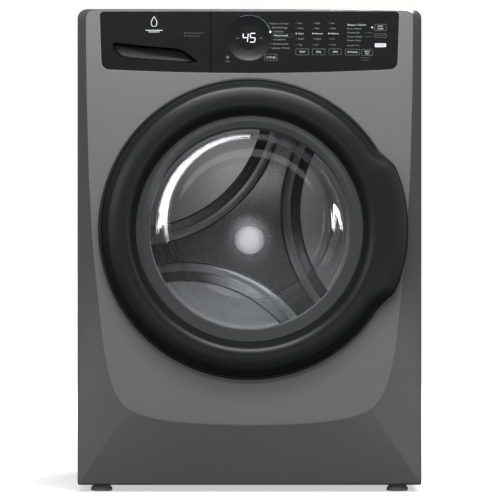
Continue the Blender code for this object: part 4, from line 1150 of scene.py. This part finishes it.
def digit(value, x, z, wide=0.0098, high=0.0175, thick=0.0013, lean=0.10):
    spots = {"a": (0, high / 2, 1), "g": (0, 0, 1), "d": (0, -high / 2, 1), "b": (wide / 2, high / 4, 0),
             "c": (wide / 2, -high / 4, 0), "f": (-wide / 2, high / 4, 0), "e": (-wide / 2, -high / 4, 0)}
    shapes = []
    for segment in SEGMENTS[value]:
        sx, sz, level = spots[segment]
        long = (wide if level else high / 2) / 2 - 0.0003
        ends = [(-long, 0), (-long + thick / 2, thick / 2), (long - thick / 2, thick / 2), (long, 0),
                (long - thick / 2, -thick / 2), (-long + thick / 2, -thick / 2)]
        points = [(a, b) if level else (b, a) for a, b in ends]
        shapes.append(patch([(x + sx + a + lean * (sz + b), z + sz + b) for a, b in points]))
    return shapes


number = digit("4", DISPLAY.x - 0.0072, DISPLAY.z) + digit("5", DISPLAY.x + 0.0074, DISPLAY.z)
printed("display_number", number, "cabinet", GLOW, 0.00015 - LENS_DEPTH)
ARC_FROM, ARC_TO = 16, 115
arc_rings = [[swept_point(DIAL, radius, angle, depth) for angle in range(ARC_FROM, ARC_TO, 2)]
             for radius, depth in ((0.0446, 0.00030), (0.0432, 0.0014))]
show(skin("display_arc", arc_rings, ring_closed=False), "cabinet", "console_black", finish=ARC_GLOW)
tip = swept_point(DIAL, 0.0439, ARC_FROM - 1, 0.0)
printed("arc_tip", [dot(tip.x, tip.z, 0.0019)], "cabinet", GLOW, 0.0003)
print("display shows 45")

# %% [markdown]
# ## Detergent drawer
# The drawer's front continues the console. Its grip is a scoop pressed into the gloss skin, with a soft
# lip, a slanted right wall and a dark inside. The scoop is a stack of shrinking outlines behind the hole in
# the front.

# %% Drawer front
SCOOP = softened([(-0.273, 0.896), (-0.226, 0.890), (-0.180, 0.886), (-0.147, 0.8835), (-0.130, 0.879),
                  (-0.101, 0.8555), (-0.130, 0.8537), (-0.194, 0.858), (-0.240, 0.862), (-0.259, 0.867),
                  (-0.270, 0.881)], 0.007, 4)


def drawn_in(outline, distance):
    """An outline moved inwards by a distance, along its corners' normals."""
    made, count = [], len(outline)
    for i, (x, z) in enumerate(outline):
        (x0, z0), (x1, z1) = outline[i - 2], outline[(i + 2) % count]
        size = math.hypot(x1 - x0, z1 - z0)
        made.append((x + (z1 - z0) / size * distance, z - (x1 - x0) / size * distance))
    return made


drawer_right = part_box("drawer_front")[1].x
front = slab("drawer_face", [console_outline(right=drawer_right), SCOOP], CONSOLE_Y, CONSOLE_BACK, 0.0007)
show(front, "drawer", "console_black", ["drawer_front"])
SCOOP_WALL = ((-0.0001, 0.0006), (0.0006, 0.0018), (0.0014, 0.0050), (0.0022, 0.0090), (0.0036, 0.0120),
              (0.0056, 0.0134))
scoop_rings = [[(x, CONSOLE_Y + depth, z) for x, z in drawn_in(SCOOP, inset)] for inset, depth in SCOOP_WALL]
scoop_rings.append([(-0.190, CONSOLE_Y + 0.0138, 0.871)])
show(skin("drawer_scoop", scoop_rings, crease=60), "drawer", "console_black", finish=SCOOP_BLACK)
drop = softened([(0, 0.0115), (-0.0068, -0.0010), (-0.0052, -0.0088), (0, -0.0108), (0.0052, -0.0088),
                 (0.0068, -0.0010)], 0.0026, 4)
MARK_X, DROP_Z, WORDS_X = -0.1895, 0.9365, -0.1300
mark = [band([(MARK_X + x, DROP_Z + z) for x, z in drop], 0.0016),
        bar(MARK_X, DROP_Z - 0.0175, 0.0340, 0.0014), bar(MARK_X, DROP_Z - 0.0207, 0.0220, 0.0012)]
words = [word("Detergent", WORDS_X, 0.9140, 0.0030, 0.040), word("Softener", WORDS_X, 0.9080, 0.0030, 0.034)]
printed("drawer_mark", mark, "drawer", WHITE_INK)
printed("drawer_words", words, "drawer", DIM_INK)
print("scoop outline", len(SCOOP), "points")

# %% Drawer tray
def drawer_tray():
    low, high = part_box("drawer_tray")
    wall, pockets = 0.002, 3
    pitch = (high.x - low.x - wall) / pockets
    tray = slab("drawer_tray_moulding",
                [[(low.x, low.z), (high.x, low.z), (high.x, high.z), (low.x, high.z)]], low.y, high.y)
    tools = []
    for i in range(pockets):
        left = low.x + wall + i * pitch
        rings = [[(x, y, z) for x, y in rounded(left + (pitch - wall) / 2, (low.y + high.y) / 2,
                                                pitch - wall - inset, high.y - low.y - 2 * wall - inset,
                                                0.008 - inset / 4)]
                 for z, inset in ((high.z + 0.01, 0.0), (low.z + 0.012, 0.0), (low.z + 0.006, 0.002),
                                  (low.z + 0.0028, 0.008))]
        centre = (left + (pitch - wall) / 2, (low.y + high.y) / 2)
        tools.append(skin("pocket", [[(*centre, high.z + 0.01)]] + rings + [[(*centre, low.z + wall)]]))
    return show(eased(cut(tray, *tools), 0.0006, 2), "drawer", "drawer_plastic", ["drawer_tray"])


drawer_tray()
low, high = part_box("drawer_tray")
ribs = [slab("rib", [rounded(low.x + 0.034 + i * 0.0643, (low.z + high.z) / 2 + 0.004, 0.002, 0.036, 0.0009)],
             high.y - 0.0035, high.y - 0.0005, 0.0003) for i in range(3)]
lying = (Matrix.Translation((low.x + 0.098, -0.19, high.z - 0.012))
         @ Matrix.Rotation(math.radians(-90), 4, "X"))
siphon = slab("siphon_cover", [rounded(0, 0, 0.052, 0.050, 0.006)], -0.002, 0.0, 0.0008, place=lying)
show(siphon, "drawer", "valve_blue")
show(joined("tray_ribs", ribs), "drawer", "drawer_plastic")
print("tray with three pockets")

# %% [markdown]
# ## Door
# The bezel is a dark moulded ring with a full, rounded front and a thin lip behind a groove. On the right
# it swells into the pull, and its section changes smoothly from one to the other. Two section profiles with
# the same number of points are mixed round the ring, so the whole door is one skin.

# %% Bezel
RING = softened([(0.2243, -0.0185), (0.2285, -0.0275), (0.2360, -0.0395), (0.2480, -0.0446),
                 (0.2640, -0.0432), (0.2800, -0.0392), (0.2915, -0.0268), (0.2932, -0.0182),
                 (0.2946, -0.0200), (0.2985, -0.0194), (0.2997, -0.0165), (0.2997, -0.0045),
                 (0.2967, -0.0045), (0.2967, -0.0150), (0.2850, -0.0160), (0.2630, -0.0400),
                 (0.2490, -0.0420), (0.2385, -0.0370), (0.2273, -0.0185)], 0.0055, 4)
PULL = softened([(0.2243, -0.0185), (0.2285, -0.0275), (0.2360, -0.0395), (0.2480, -0.0446),
                 (0.2700, -0.0443), (0.2900, -0.0415), (0.3110, -0.0350), (0.3138, -0.0325),
                 (0.3144, -0.0305), (0.3120, -0.0280), (0.3060, -0.0278), (0.2905, -0.0300),
                 (0.2885, -0.0045), (0.2855, -0.0045), (0.2855, -0.0300), (0.2630, -0.0400),
                 (0.2490, -0.0420), (0.2385, -0.0370), (0.2273, -0.0185)], 0.0055, 4)
PULL_START, PULL_END = 22.0, 34.0            # degrees above and below the middle of the pull
BEZEL_STEPS = 300
HINGE = Vector(JOINTS["door_hinge"]["pos_m"])
HINGE_ROOM_X, HINGE_ROOM_Y = -0.25, FACE_Y - 0.0172


def eased_share(value, start, end):
    share = min(max((value - start) / (end - start), 0), 1)
    return share * share * (3 - 2 * share)


def bezel():
    stack = []
    for plain, pull in zip(RING, PULL):
        ring = []
        for step in range(BEZEL_STEPS):
            angle = 360 * step / BEZEL_STEPS
            share = 1 - eased_share(min(angle, 360 - angle), PULL_START, PULL_END)
            radius, depth = (a + share * (b - a) for a, b in zip(plain, pull))
            point = swept_point(DOOR, radius, angle, depth)
            if point.x < HINGE_ROOM_X:
                # room for the hinge behind the lip
                notch = 1 - eased_share(abs(point.z - DOOR_Z), 0.058, 0.064)
                point.y = min(point.y, point.y + notch * (HINGE_ROOM_Y - point.y))
            ring.append(point)
        stack.append(ring)
    return skin("bezel", stack, stack_closed=True, crease=60)


show(bezel(), "door", "door_trim", ["door_bezel"])
print("bezel section", len(RING), "points")

# %% [markdown]
# ### Inner ring and glass
# Behind the bezel a grey ring clamps the glass with screws, and it has a pocket for the hinge arm and one
# for the hook. The bowl is deep and its floor leans up, so that laundry falls back into the drum.

# %% Inner ring
RING_BACK, RING_RIM, POCKET_FLOOR = -0.0042, -0.0163, FACE_Y - 0.0195
ring_profile = softened([(0.2070, RING_BACK), (0.2320, RING_BACK), (0.2350, -0.0056), (0.2560, -0.0056),
                         (0.2590, RING_BACK), (0.2818, RING_BACK), (0.2818, RING_RIM), (0.2330, RING_RIM),
                         (0.2240, -0.0138), (0.2150, -0.0120), (0.2070, -0.0080)], 0.0012, 3)
inner = turned("inner_ring", ring_profile, DOOR, 180)
hinge_room = slab("room", [rounded(HINGE.x - 0.0005, DOOR_Z, 0.069, 0.120, 0.004)], POCKET_FLOOR,
                  FACE_Y + 0.01)
arm_room = slab("room", [rounded(-0.264, DOOR_Z, 0.064, 0.060, 0.003)], POCKET_FLOOR, FACE_Y - 0.0117)
hook_room = slab("room", [rounded(latch.x, DOOR_Z, 0.018, 0.038, 0.003)], FACE_Y - 0.0125, FACE_Y + 0.01)
show(cut(inner, hinge_room, arm_room, hook_room), "door", "door_grey", ["door_inner_ring"])
INSIDE = Matrix.Translation((0, FACE_Y - 0.0044, DOOR_Z)) @ Matrix.Rotation(math.pi, 4, "Z")
SCREW_ANGLES = range(15, 360, 30)
screws("ring_screws",
       [Matrix.Translation(swept_point(INSIDE, 0.270, angle, 0.0012)) @ INSIDE.to_3x3().to_4x4()
        for angle in SCREW_ANGLES], "door")
print("inner ring with", len(SCREW_ANGLES), "screws")

# %% Glass bowl
BOWL = flowing([(0.2236, -0.0183), (0.2140, -0.0168), (0.2015, -0.0130), (0.1925, -0.0090), (0.1865, -0.0032),
                (0.1830, 0.0050), (0.1805, 0.0180), (0.1762, 0.0400), (0.1700, 0.0700), (0.1630, 0.1040),
                (0.1560, 0.1150), (0.1400, 0.1222), (0.1000, 0.1262), (0.0500, 0.1277), (0.0, 0.1280)], 6)
GLASS_THICK, BOWL_STEPS, POLE = 0.0036, 160, 0.002


def bowl_lift(depth):
    """How far the bowl's wall leans up: a quick step at the neck, then an even slope."""
    return 0.008 * eased_share(depth, 0, 0.03) + 0.014 * min(max(depth - 0.02, 0) / 0.097, 1)


def outset(profile, thick):
    moved = []
    for i, (radius, depth) in enumerate(profile):
        (r0, d0), (r1, d1) = profile[max(i - 1, 0)], profile[min(i + 1, len(profile) - 1)]
        size = math.hypot(r1 - r0, d1 - d0) or 1
        moved.append((max(radius + thick * (d1 - d0) / size, 0) if radius > POLE else 0.0,
                      depth + thick * (r0 - r1) / size))
    return moved


def glass_bowl():
    rings = []
    for radius, depth in BOWL + outset(BOWL, GLASS_THICK)[::-1]:
        count = BOWL_STEPS if radius > POLE else 1
        lift = Vector((0, 0, bowl_lift(depth)))
        rings.append([swept_point(DOOR, radius, 360 * i / BOWL_STEPS, depth) + lift for i in range(count)])
    return skin("glass_bowl", rings, stack_closed=True, crease=70)


show(glass_bowl(), "door", "bowl_glass", ["door_glass"])
print("bowl profile", len(BOWL), "points")

# %% [markdown]
# ### Gasket
# The grey rubber bellows joins the panel's hole to the tub's neck. Its front bead sits round the door and
# its back lip round the tub, so each ring of points lies somewhere between the upright door and the tilted
# tub.

# %% Gasket
# (radius, depth, how far the ring follows the tub)
FOLDS = softened([(0.2085, -0.0012, 0), (0.2085, 0.0160, 0), (0.2310, 0.0280, 0.3), (0.2330, 0.0320, 0.3),
                  (0.2330, 0.0580, 1), (0.2300, 0.0625, 1), (0.2165, 0.0635, 1), (0.2165, 0.0880, 1),
                  (0.2130, 0.0880, 1), (0.2130, 0.0600, 1), (0.2275, 0.0590, 1), (0.2300, 0.0560, 1),
                  (0.2300, 0.0340, 0.3), (0.2270, 0.0310, 0.3), (0.2050, 0.0190, 0), (0.2050, 0.0020, 0),
                  (0.1980, 0.0020, 0), (0.1980, -0.0012, 0)], 0.0022, 3)
bellows = skin("gasket", [[swept_point(DOOR, r, a, d).lerp(swept_point(TUB, r, a, d), share)
                           for a in range(0, 360, 2)] for r, d, share in FOLDS], stack_closed=True, crease=50)
stretched(bellows, "gasket_rubber", "door_gasket")
print("gasket", len(FOLDS), "rings")

# %% [markdown]
# ## Drum
# The drum is a brushed steel cylinder with a rolled front lip, pierced walls, three lifters and a pressed
# back. The back's star has two steps, drawn as nested copies of one outline whose hollow sides are circle
# arcs.

# %% Drum shell
LIFTER_ANGLES = (69, 189, 309)
DRUM_BACK = 0.548
shell_profile = softened([(0.2050, 0.1040), (0.2050, 0.0945), (0.2085, 0.0922), (0.2550, 0.0962),
                          (0.2740, 0.1032), (0.2798, 0.1190), (0.2800, 0.5530), (0.2786, 0.5530),
                          (0.2786, 0.1200), (0.2726, 0.1050), (0.2545, 0.0982), (0.2080, 0.0944),
                          (0.2072, 0.0955), (0.2072, 0.1040)], 0.004, 4)
show(turned("drum_cylinder", shell_profile, TUB, 180, 60), "drum", "drum_steel", ["drum_shell"])
print("drum shell", len(shell_profile), "points")

# %% Drum back
STAR_AWAY = 0.3884           # centres of the star's hollow sides


def star(side_r, end_r, depth):
    """Three arms between hollow sides, at one depth."""
    cosine = (end_r ** 2 + STAR_AWAY ** 2 - side_r ** 2) / (2 * end_r * STAR_AWAY)
    spread = math.degrees(math.acos(cosine))
    sweep = math.degrees(math.asin(end_r * math.sin(math.radians(spread)) / side_r))
    outline = []
    for arm in LIFTER_ANGLES:
        turn = math.radians(arm + 60)
        outline += arc(STAR_AWAY * math.cos(turn), STAR_AWAY * math.sin(turn), side_r, arm + 240 + sweep,
                       arm + 240 - sweep, 32)
        outline += arc(0, 0, end_r, arm + 60 + spread, arm + 180 - spread, 6)[1:-1]
    return [TUB @ Vector((x, depth, up)) for x, up in outline]


def drum_back():
    disc = turned("drum_disc", softened([(0.0, DRUM_BACK), (0.262, DRUM_BACK), (0.2700, DRUM_BACK - 0.004),
                                         (0.2772, DRUM_BACK - 0.004), (0.2772, DRUM_BACK + 0.0018),
                                         (0.0, DRUM_BACK + 0.0018)], 0.004, 3, closed=False), TUB, 144)
    show(disc, "drum", "drum_steel", ["drum_back"], BACK_STEEL)
    # (radius of the hollow sides, radius of the arm ends, height): bay edge, slope, step, star; slope and star
    # wear a darker copy of the steel as painted shade, the step the plain steel
    steps = ((0.2744, 0.2690, 0.0), (0.2752, 0.2686, 0.0012), (0.2790, 0.2680, 0.0030),
             (0.2930, 0.2670, 0.0052), (0.2960, 0.2662, 0.0068), (0.2972, 0.2658, 0.0076),
             (0.2990, 0.2650, 0.0078), (0.3120, 0.2600, 0.0082), (0.3136, 0.2590, 0.0094),
             (0.3150, 0.2580, 0.0114), (0.3168, 0.2570, 0.0120), (0.3200, 0.2560, 0.0120))
    rings = [star(side_r, end_r, DRUM_BACK - high) for side_r, end_r, high in steps]
    show(skin("drum_star_slope", rings[:5], crease=60), "drum", "drum_steel", finish=SHADED_STAR_STEEL)
    show(skin("drum_star_step", rings[4:9], crease=60), "drum", "drum_steel", finish=BACK_STEEL)
    centre = [TUB @ Vector((0, DRUM_BACK - 0.0120, 0))]
    return show(skin("drum_star", rings[8:] + [centre], crease=60), "drum", "drum_steel", finish=SHADED_STAR_STEEL)


print(drum_back().name)

# %% Hub cap
cap_profile = softened([(0.0, DRUM_BACK - 0.0205), (0.022, DRUM_BACK - 0.0195), (0.0315, DRUM_BACK - 0.0165),
                        (0.0335, DRUM_BACK - 0.0115), (0.0, DRUM_BACK - 0.0115)], 0.004, 5, closed=False)
show(turned("hub_cap", cap_profile, TUB, 64), "drum", "drum_steel", finish=CAP_GREY)
print("hub cap placed")

# %% [markdown]
# ### Lifters
# Each lifter is a hollow fin with sloping ends, a rounded crest and a row of water slots down its sides.
# Its section shrinks towards both ends, which makes the slopes. The slots are black patches on the fin,
# painted shade for the dark inside the openings.

# %% Lifters
FOOT_R, SLOTS, SLOT_PITCH = 0.2735, 8, 0.034
FIN = softened([(0.040, FOOT_R), (0.0375, 0.2690), (0.0270, 0.2440), (0.0200, 0.2200), (0.0135, 0.2120),
                (0.0, 0.2094), (-0.0135, 0.2120), (-0.0200, 0.2200), (-0.0270, 0.2440), (-0.0375, 0.2690),
                (-0.040, FOOT_R)], 0.006, 4, closed=False)
# (depth, share of the full section) from the front end to the back end
FIN_ENDS = ((0.1360, 0.30), (0.1375, 0.40), (0.150, 0.70), (0.166, 0.90), (0.186, 0.985), (0.215, 1.0),
            (0.330, 1.0), (0.450, 1.0), (0.480, 0.985), (0.505, 0.92), (0.5225, 0.78), (0.5290, 0.66))


def lifter_fin(node, turn):
    rings = []
    for depth, grow in FIN_ENDS:
        ring = []
        for side, radius in FIN:
            r, s = FOOT_R - (FOOT_R - radius) * grow, side * (0.72 + 0.28 * grow)
            ring.append(TUB @ Vector((r * math.cos(turn) - s * math.sin(turn), depth,
                                      r * math.sin(turn) + s * math.cos(turn))))
        rings.append(ring)
    front, back = ([sum(rings[end], Vector()) / len(rings[end])] for end in (0, -1))
    return skin(node + "_fin", [front] + rings + [back], crease=50)


def lifter_slots(node, turn):
    lean = TUB @ Matrix.Rotation(turn, 4, "Y").inverted()
    flat = Matrix.Rotation(math.radians(-90), 4, "X")
    places = [lean @ Matrix.Translation((0.2460, 0.215 + i * SLOT_PITCH, 0)) @ flat
              @ Matrix.Translation((0, side * 0.0275, 0)) for side in (-1, 1) for i in range(SLOTS)]
    return joined(node + "_slots",
                  [slab("slot", [rounded(0, 0, 0.018, 0.006, 0.0029, 4)], -0.0005, 0.0012, 0.0003,
                        place=place) for place in places])


for i, angle in enumerate(LIFTER_ANGLES):
    node, turn = f"lifter_{i + 1}", math.radians(angle)
    show(lifter_fin(node, turn), "drum", "lifter_grey", [node])
    # the slots are black: painted shade standing in for the dark inside the openings
    show(lifter_slots(node, turn), "drum", "lifter_grey", finish=FINISHES["console_black"])
    print(node)

# %% [markdown]
# ## Hinge, springs and hose
# The hinge's bracket is screwed to the panel. Two long springs carry the tub, each a helix with plain end
# loops, and a corrugated hose runs from the tub to the pump. Springs and hose join the tub to the cabinet.

# %% Hinge screws
bracket_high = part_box("hinge_bracket")[1]
plate_x = (HINGE.x + 0.012 + bracket_high.x) / 2
screws("hinge_screws", [Matrix.Translation((plate_x, bracket_high.y - 0.0022, DOOR_Z + lift))
                        for lift in (-0.041, -0.014, 0.014, 0.041)], "cabinet")
print("bracket screws at", round(plate_x, 4))

# %% Springs
COIL_R, WIRE_R, COILS, COIL_STEPS, HOOK = 0.0155, 0.0018, 22, 20, 0.026


def spring(hand):
    low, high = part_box(hand + "_spring")
    x, y = (low.x + high.x) / 2, (low.y + high.y) / 2
    bottom, top, steps = low.z + HOOK, high.z - HOOK, COILS * COIL_STEPS
    points = [(x, y, low.z + WIRE_R), (x + COIL_R * 0.5, y, low.z + 0.010),
              (x + COIL_R * 0.9, y, low.z + 0.020)]
    for i in range(steps + 1):
        turn = 2 * math.pi * i / COIL_STEPS
        points.append((x + COIL_R * math.cos(turn), y + COIL_R * math.sin(turn),
                       bottom + (top - bottom) * i / steps))
    points += [(x + COIL_R * 0.9, y, high.z - 0.020), (x + COIL_R * 0.5, y, high.z - 0.010),
               (x, y, high.z - WIRE_R)]
    stretched(tube(hand + "_spring_wire", points, WIRE_R, 8), "spring_steel", hand + "_spring")


for hand in ("left", "right"):
    spring(hand)
    print(hand, "spring")

# %% Hose
SUMP, PUMP_END = Vector((0, -0.200, 0.1877)), Vector((0.1197, -0.250, 0.085))
STUB, BEND, HOSE_STEPS, RIBS = 0.008, 0.09, 96, 20


def hose_radius(share):
    return 0.0165 + 0.0011 * (1 - math.cos(share * 2 * math.pi * RIBS))


a, d = SUMP - Vector((0, 0, STUB)), PUMP_END - Vector((STUB, 0, 0))
b, c = a - Vector((0, 0, BEND)), d - Vector((BEND, 0, 0))
shares = [i / HOSE_STEPS for i in range(HOSE_STEPS + 1)]
route = [SUMP] + [a * (1 - t) ** 3 + b * 3 * t * (1 - t) ** 2 + c * 3 * t * t * (1 - t) + d * t ** 3
                  for t in shares] + [PUMP_END]
hose = tube("corrugated_hose", route, hose_radius, 28)
stretched(hose, "hose_rubber", "sump_hose")
print("hose", len(route), "points")

# %% [markdown]
# ## Rear connections
# The two inlet valves end in threaded couplings for the hot and cold hoses, the drain outlet has a barb,
# and a stepped gland grips the mains lead.

# %% Valves, drain and gland
def port(node):
    spot = middle(node)
    return Matrix.Translation((spot.x, 0, spot.z))


THREAD_ROOT, THREAD_TOP, BORE = 0.0126, 0.0132, 0.0080


def valve(node, slot):
    low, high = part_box(node)
    end = high.y
    outer = [(0.0, low.y), (0.0160, low.y), (0.0178, low.y + 0.002), (0.0178, low.y + 0.070),
             (0.0165, low.y + 0.072), (0.0133, low.y + 0.0725)]
    y = low.y + 0.080
    while y < end - 0.0025:
        outer += [(THREAD_ROOT, y), (THREAD_TOP, y + 0.0007), (THREAD_TOP, y + 0.0011)]
        y += 0.0018
    outer += [(THREAD_ROOT, end - 0.0006), (0.0120, end), (0.0088, end), (BORE, end - 0.0010),
              (BORE, low.y + 0.060), (0.0, low.y + 0.060)]
    show(turned(node + "_body", outer, port(node), 40), "cabinet", slot, [node])
    sieve = [(0.0, low.y + 0.0665), (0.0079, low.y + 0.0665), (0.0079, low.y + 0.0655), (0.0, low.y + 0.0655)]
    return show(turned(node + "_sieve", sieve, port(node), 32), "cabinet", slot, finish=ZINC)


valve("hot_inlet_valve", "valve_red")
valve("cold_inlet_valve", "valve_blue")
low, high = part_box("drain_outlet")
barb = softened([(0.0, low.y), (0.0158, low.y), (0.0158, 0.3870), (0.0146, 0.3880), (0.0146, 0.3905),
                 (0.0158, 0.3915), (0.0146, 0.3945), (0.0156, 0.3955), (0.0142, high.y), (0.0125, high.y),
                 (0.0125, low.y + 0.005), (0.0, low.y + 0.005)], 0.0004, 2, closed=False)
show(turned("drain_barb", barb, port("drain_outlet"), 48), "cabinet", "inner_plastic", ["drain_outlet"])
low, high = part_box("cord_gland")
gland = softened([(0.0045, low.y), (0.0118, low.y), (0.0118, 0.3862), (0.0116, 0.3880), (0.0106, 0.3905),
                  (0.0108, 0.3920), (0.0096, 0.3945), (0.0098, 0.3958), (0.0088, high.y), (0.0045, high.y)],
                 0.0005, 2)
show(turned("lead_gland", gland, port("cord_gland"), 48), "cabinet", "hose_rubber", ["cord_gland"])
print("rear ports placed")

# %% [markdown]
# ## Studio
# A pale floor runs to the horizon under a white sky. A soft box close above the front lights the top of the
# panel most, a second one farther off evens out the rest, and tall strips at both sides draw the lines
# along the bezel. The large lights leave the glass out, so it stays dark; four small glints that reach only
# the glass draw its arcs, and two small lamps at the window light the drum and the hub cap.

# %% Floor, sky and lights
FLOOR_Z, FLOOR_STEPS = -0.0002, 64


def studio_floor():
    angles = [2 * math.pi * i / FLOOR_STEPS for i in range(FLOOR_STEPS)]
    rings = [[(radius * math.cos(a), radius * math.sin(a), FLOOR_Z) for a in angles]
             for radius in (60.0, 12.0, 3.0)]
    return skin("studio_floor", rings + [[(0, 0, FLOOR_Z)]])


floor = studio_floor()
pale = Finish("pale_floor", (0.80, 0.80, 0.80), 0.7)
pale.worn(0.01, 60, 0.0001, 0.05)
east, north, _ = pale.axes()
far = pale.node("ShaderNodeMath", {"operation": "SQRT"}, {0: east * east + north * north})
pale.set(Emission_Color=pale.mixed(far.ramp(0.9, 3.2), (0.55, 0.55, 0.55), (1.0, 1.0, 1.0)),
         Emission_Strength=1.0)
floor.data.materials.append(pale.material)
floor.visible_diffuse = floor.visible_glossy = False
scene = bpy.context.scene
scene.world = bpy.data.worlds.new("studio_sky")
scene.world.use_nodes = True
sky = scene.world.node_tree
seen = sky.nodes.new("ShaderNodeLightPath")
pick = sky.nodes.new("ShaderNodeMix")
pick.data_type = "RGBA"
pick.inputs[7].default_value = (1.0, 1.0, 1.0, 1)
height = sky.nodes.new("ShaderNodeSeparateXYZ")
sky.links.new(sky.nodes.new("ShaderNodeTexCoord").outputs["Generated"], height.inputs[0])
fade = sky.nodes.new("ShaderNodeMapRange")
fade.inputs[1].default_value, fade.inputs[2].default_value = -0.5, 0.6
fade.inputs[3].default_value, fade.inputs[4].default_value = 0.035, 0.15
sky.links.new(height.outputs[2], fade.inputs[0])
sky.links.new(fade.outputs[0], pick.inputs[6])
sky.links.new(seen.outputs["Is Camera Ray"], pick.inputs[0])
sky.links.new(pick.outputs[2], sky.nodes["Background"].inputs["Color"])


def softbox(name, at, aim, wide, high, power, colour=(1, 1, 1), spread=180):
    light = bpy.data.lights.new(name, "AREA")
    light.shape, light.size, light.size_y, light.energy, light.color = "RECTANGLE", wide, high, power, colour
    light.spread = math.radians(spread)
    lamp = bpy.data.objects.new(name, light)
    lamp.location = at
    lamp.rotation_euler = (Vector(aim) - Vector(at)).to_track_quat("-Z", "Y").to_euler()
    lamp.visible_camera = False
    scene.collection.objects.link(lamp)
    return lamp


key_above = softbox("key_above", (0.0, -1.75, 2.25), (0, -0.3, 0.85), 1.9, 0.8, 49)
front_key = softbox("front_key", (0.0, -4.6, 2.5), (0, -0.4, 0.55), 2.2, 0.7, 57)
front_fill = softbox("front_fill", (-2.7, -4.6, 1.5), (0, 0, 0.5), 1.2, 1.0, 16)
strip_right = softbox("strip_right", (1.9, -1.9, 0.95), (0, -0.3, 0.6), 0.30, 1.7, 4.5)
softbox("strip_left", (-1.9, -1.9, 0.95), (0, -0.3, 0.6), 0.12, 1.5, 3)
softbox("low_front", (0.3, -2.3, 0.08), (0, -0.4, 0.5), 2.2, 0.4, 2.8)
softbox("back_fill", (1.5, 4.0, 2.8), (0, 0, 0.5), 2.5, 1.6, 170)
softbox("drum_glow", (0, FACE_Y + 0.14, DOOR_Z + 0.155), (0, 0.12, DOOR_Z - 0.04), 0.18, 0.02, 0.05)
softbox("cap_glow", (0, FACE_Y + 0.15, DOOR_Z + 0.15), swept_point(TUB, 0, 0, DRUM_BACK - 0.02), 0.02, 0.02,
        0.009, spread=15)
# (distance from the door's axis, angle, width, height, power) of each glint
GLINTS = ((0.020, 150, 0.030, 0.034, 0.0017), (0.072, 138, 0.050, 0.060, 0.0055),
          (0.112, 108, 0.070, 0.050, 0.0055), (0.022, 6, 0.010, 0.044, 0.0016))
GLINT_DEPTH, WALL_R, WALL_DEPTH = 0.42, 0.17, 0.05
glints = [softbox("glint", swept_point(DOOR, radius, angle, GLINT_DEPTH),
                  swept_point(DOOR, WALL_R, angle, WALL_DEPTH), wide, high, power, spread=60)
          for radius, angle, wide, high, power in GLINTS]


def link(lamps, pieces, state):
    """Keeps the light of some lamps off some pieces, or on them alone."""
    linked = bpy.data.collections.new("linked_" + lamps[0].name)
    for i, piece in enumerate(pieces):
        linked.objects.link(bpy.data.objects[piece])
        linked.collection_objects[i].light_linking.link_state = state
    for lamp in lamps:
        lamp.light_linking.receiver_collection = linked


link([key_above, front_fill, strip_right], ["glass_bowl"], "EXCLUDE")
link([front_key], ["glass_bowl", "bezel"], "EXCLUDE")
link(glints, ["glass_bowl"], "INCLUDE")

# %% [markdown]
# ## Camera
# The camera looks straight at the front from seven metres with a long lens, so upright lines stay upright
# and both sides of the cabinet vanish behind the front.

# %% Camera
SENSOR, AWAY, WIDTH_SEEN = 36, 7.0, 0.9968
camera = bpy.data.objects.new("camera", bpy.data.cameras.new("camera"))
camera.data.sensor_width, camera.data.lens = SENSOR, SENSOR * AWAY / WIDTH_SEEN
camera.data.clip_end = 200
camera.location = (0.001, EDGE_Y - AWAY, 0.4825)
camera.rotation_euler = (math.radians(90), 0, 0)
scene.collection.objects.link(camera)
scene.camera = camera
scene.view_settings.view_transform = "Standard"
print("camera at", tuple(round(v, 3) for v in camera.location))
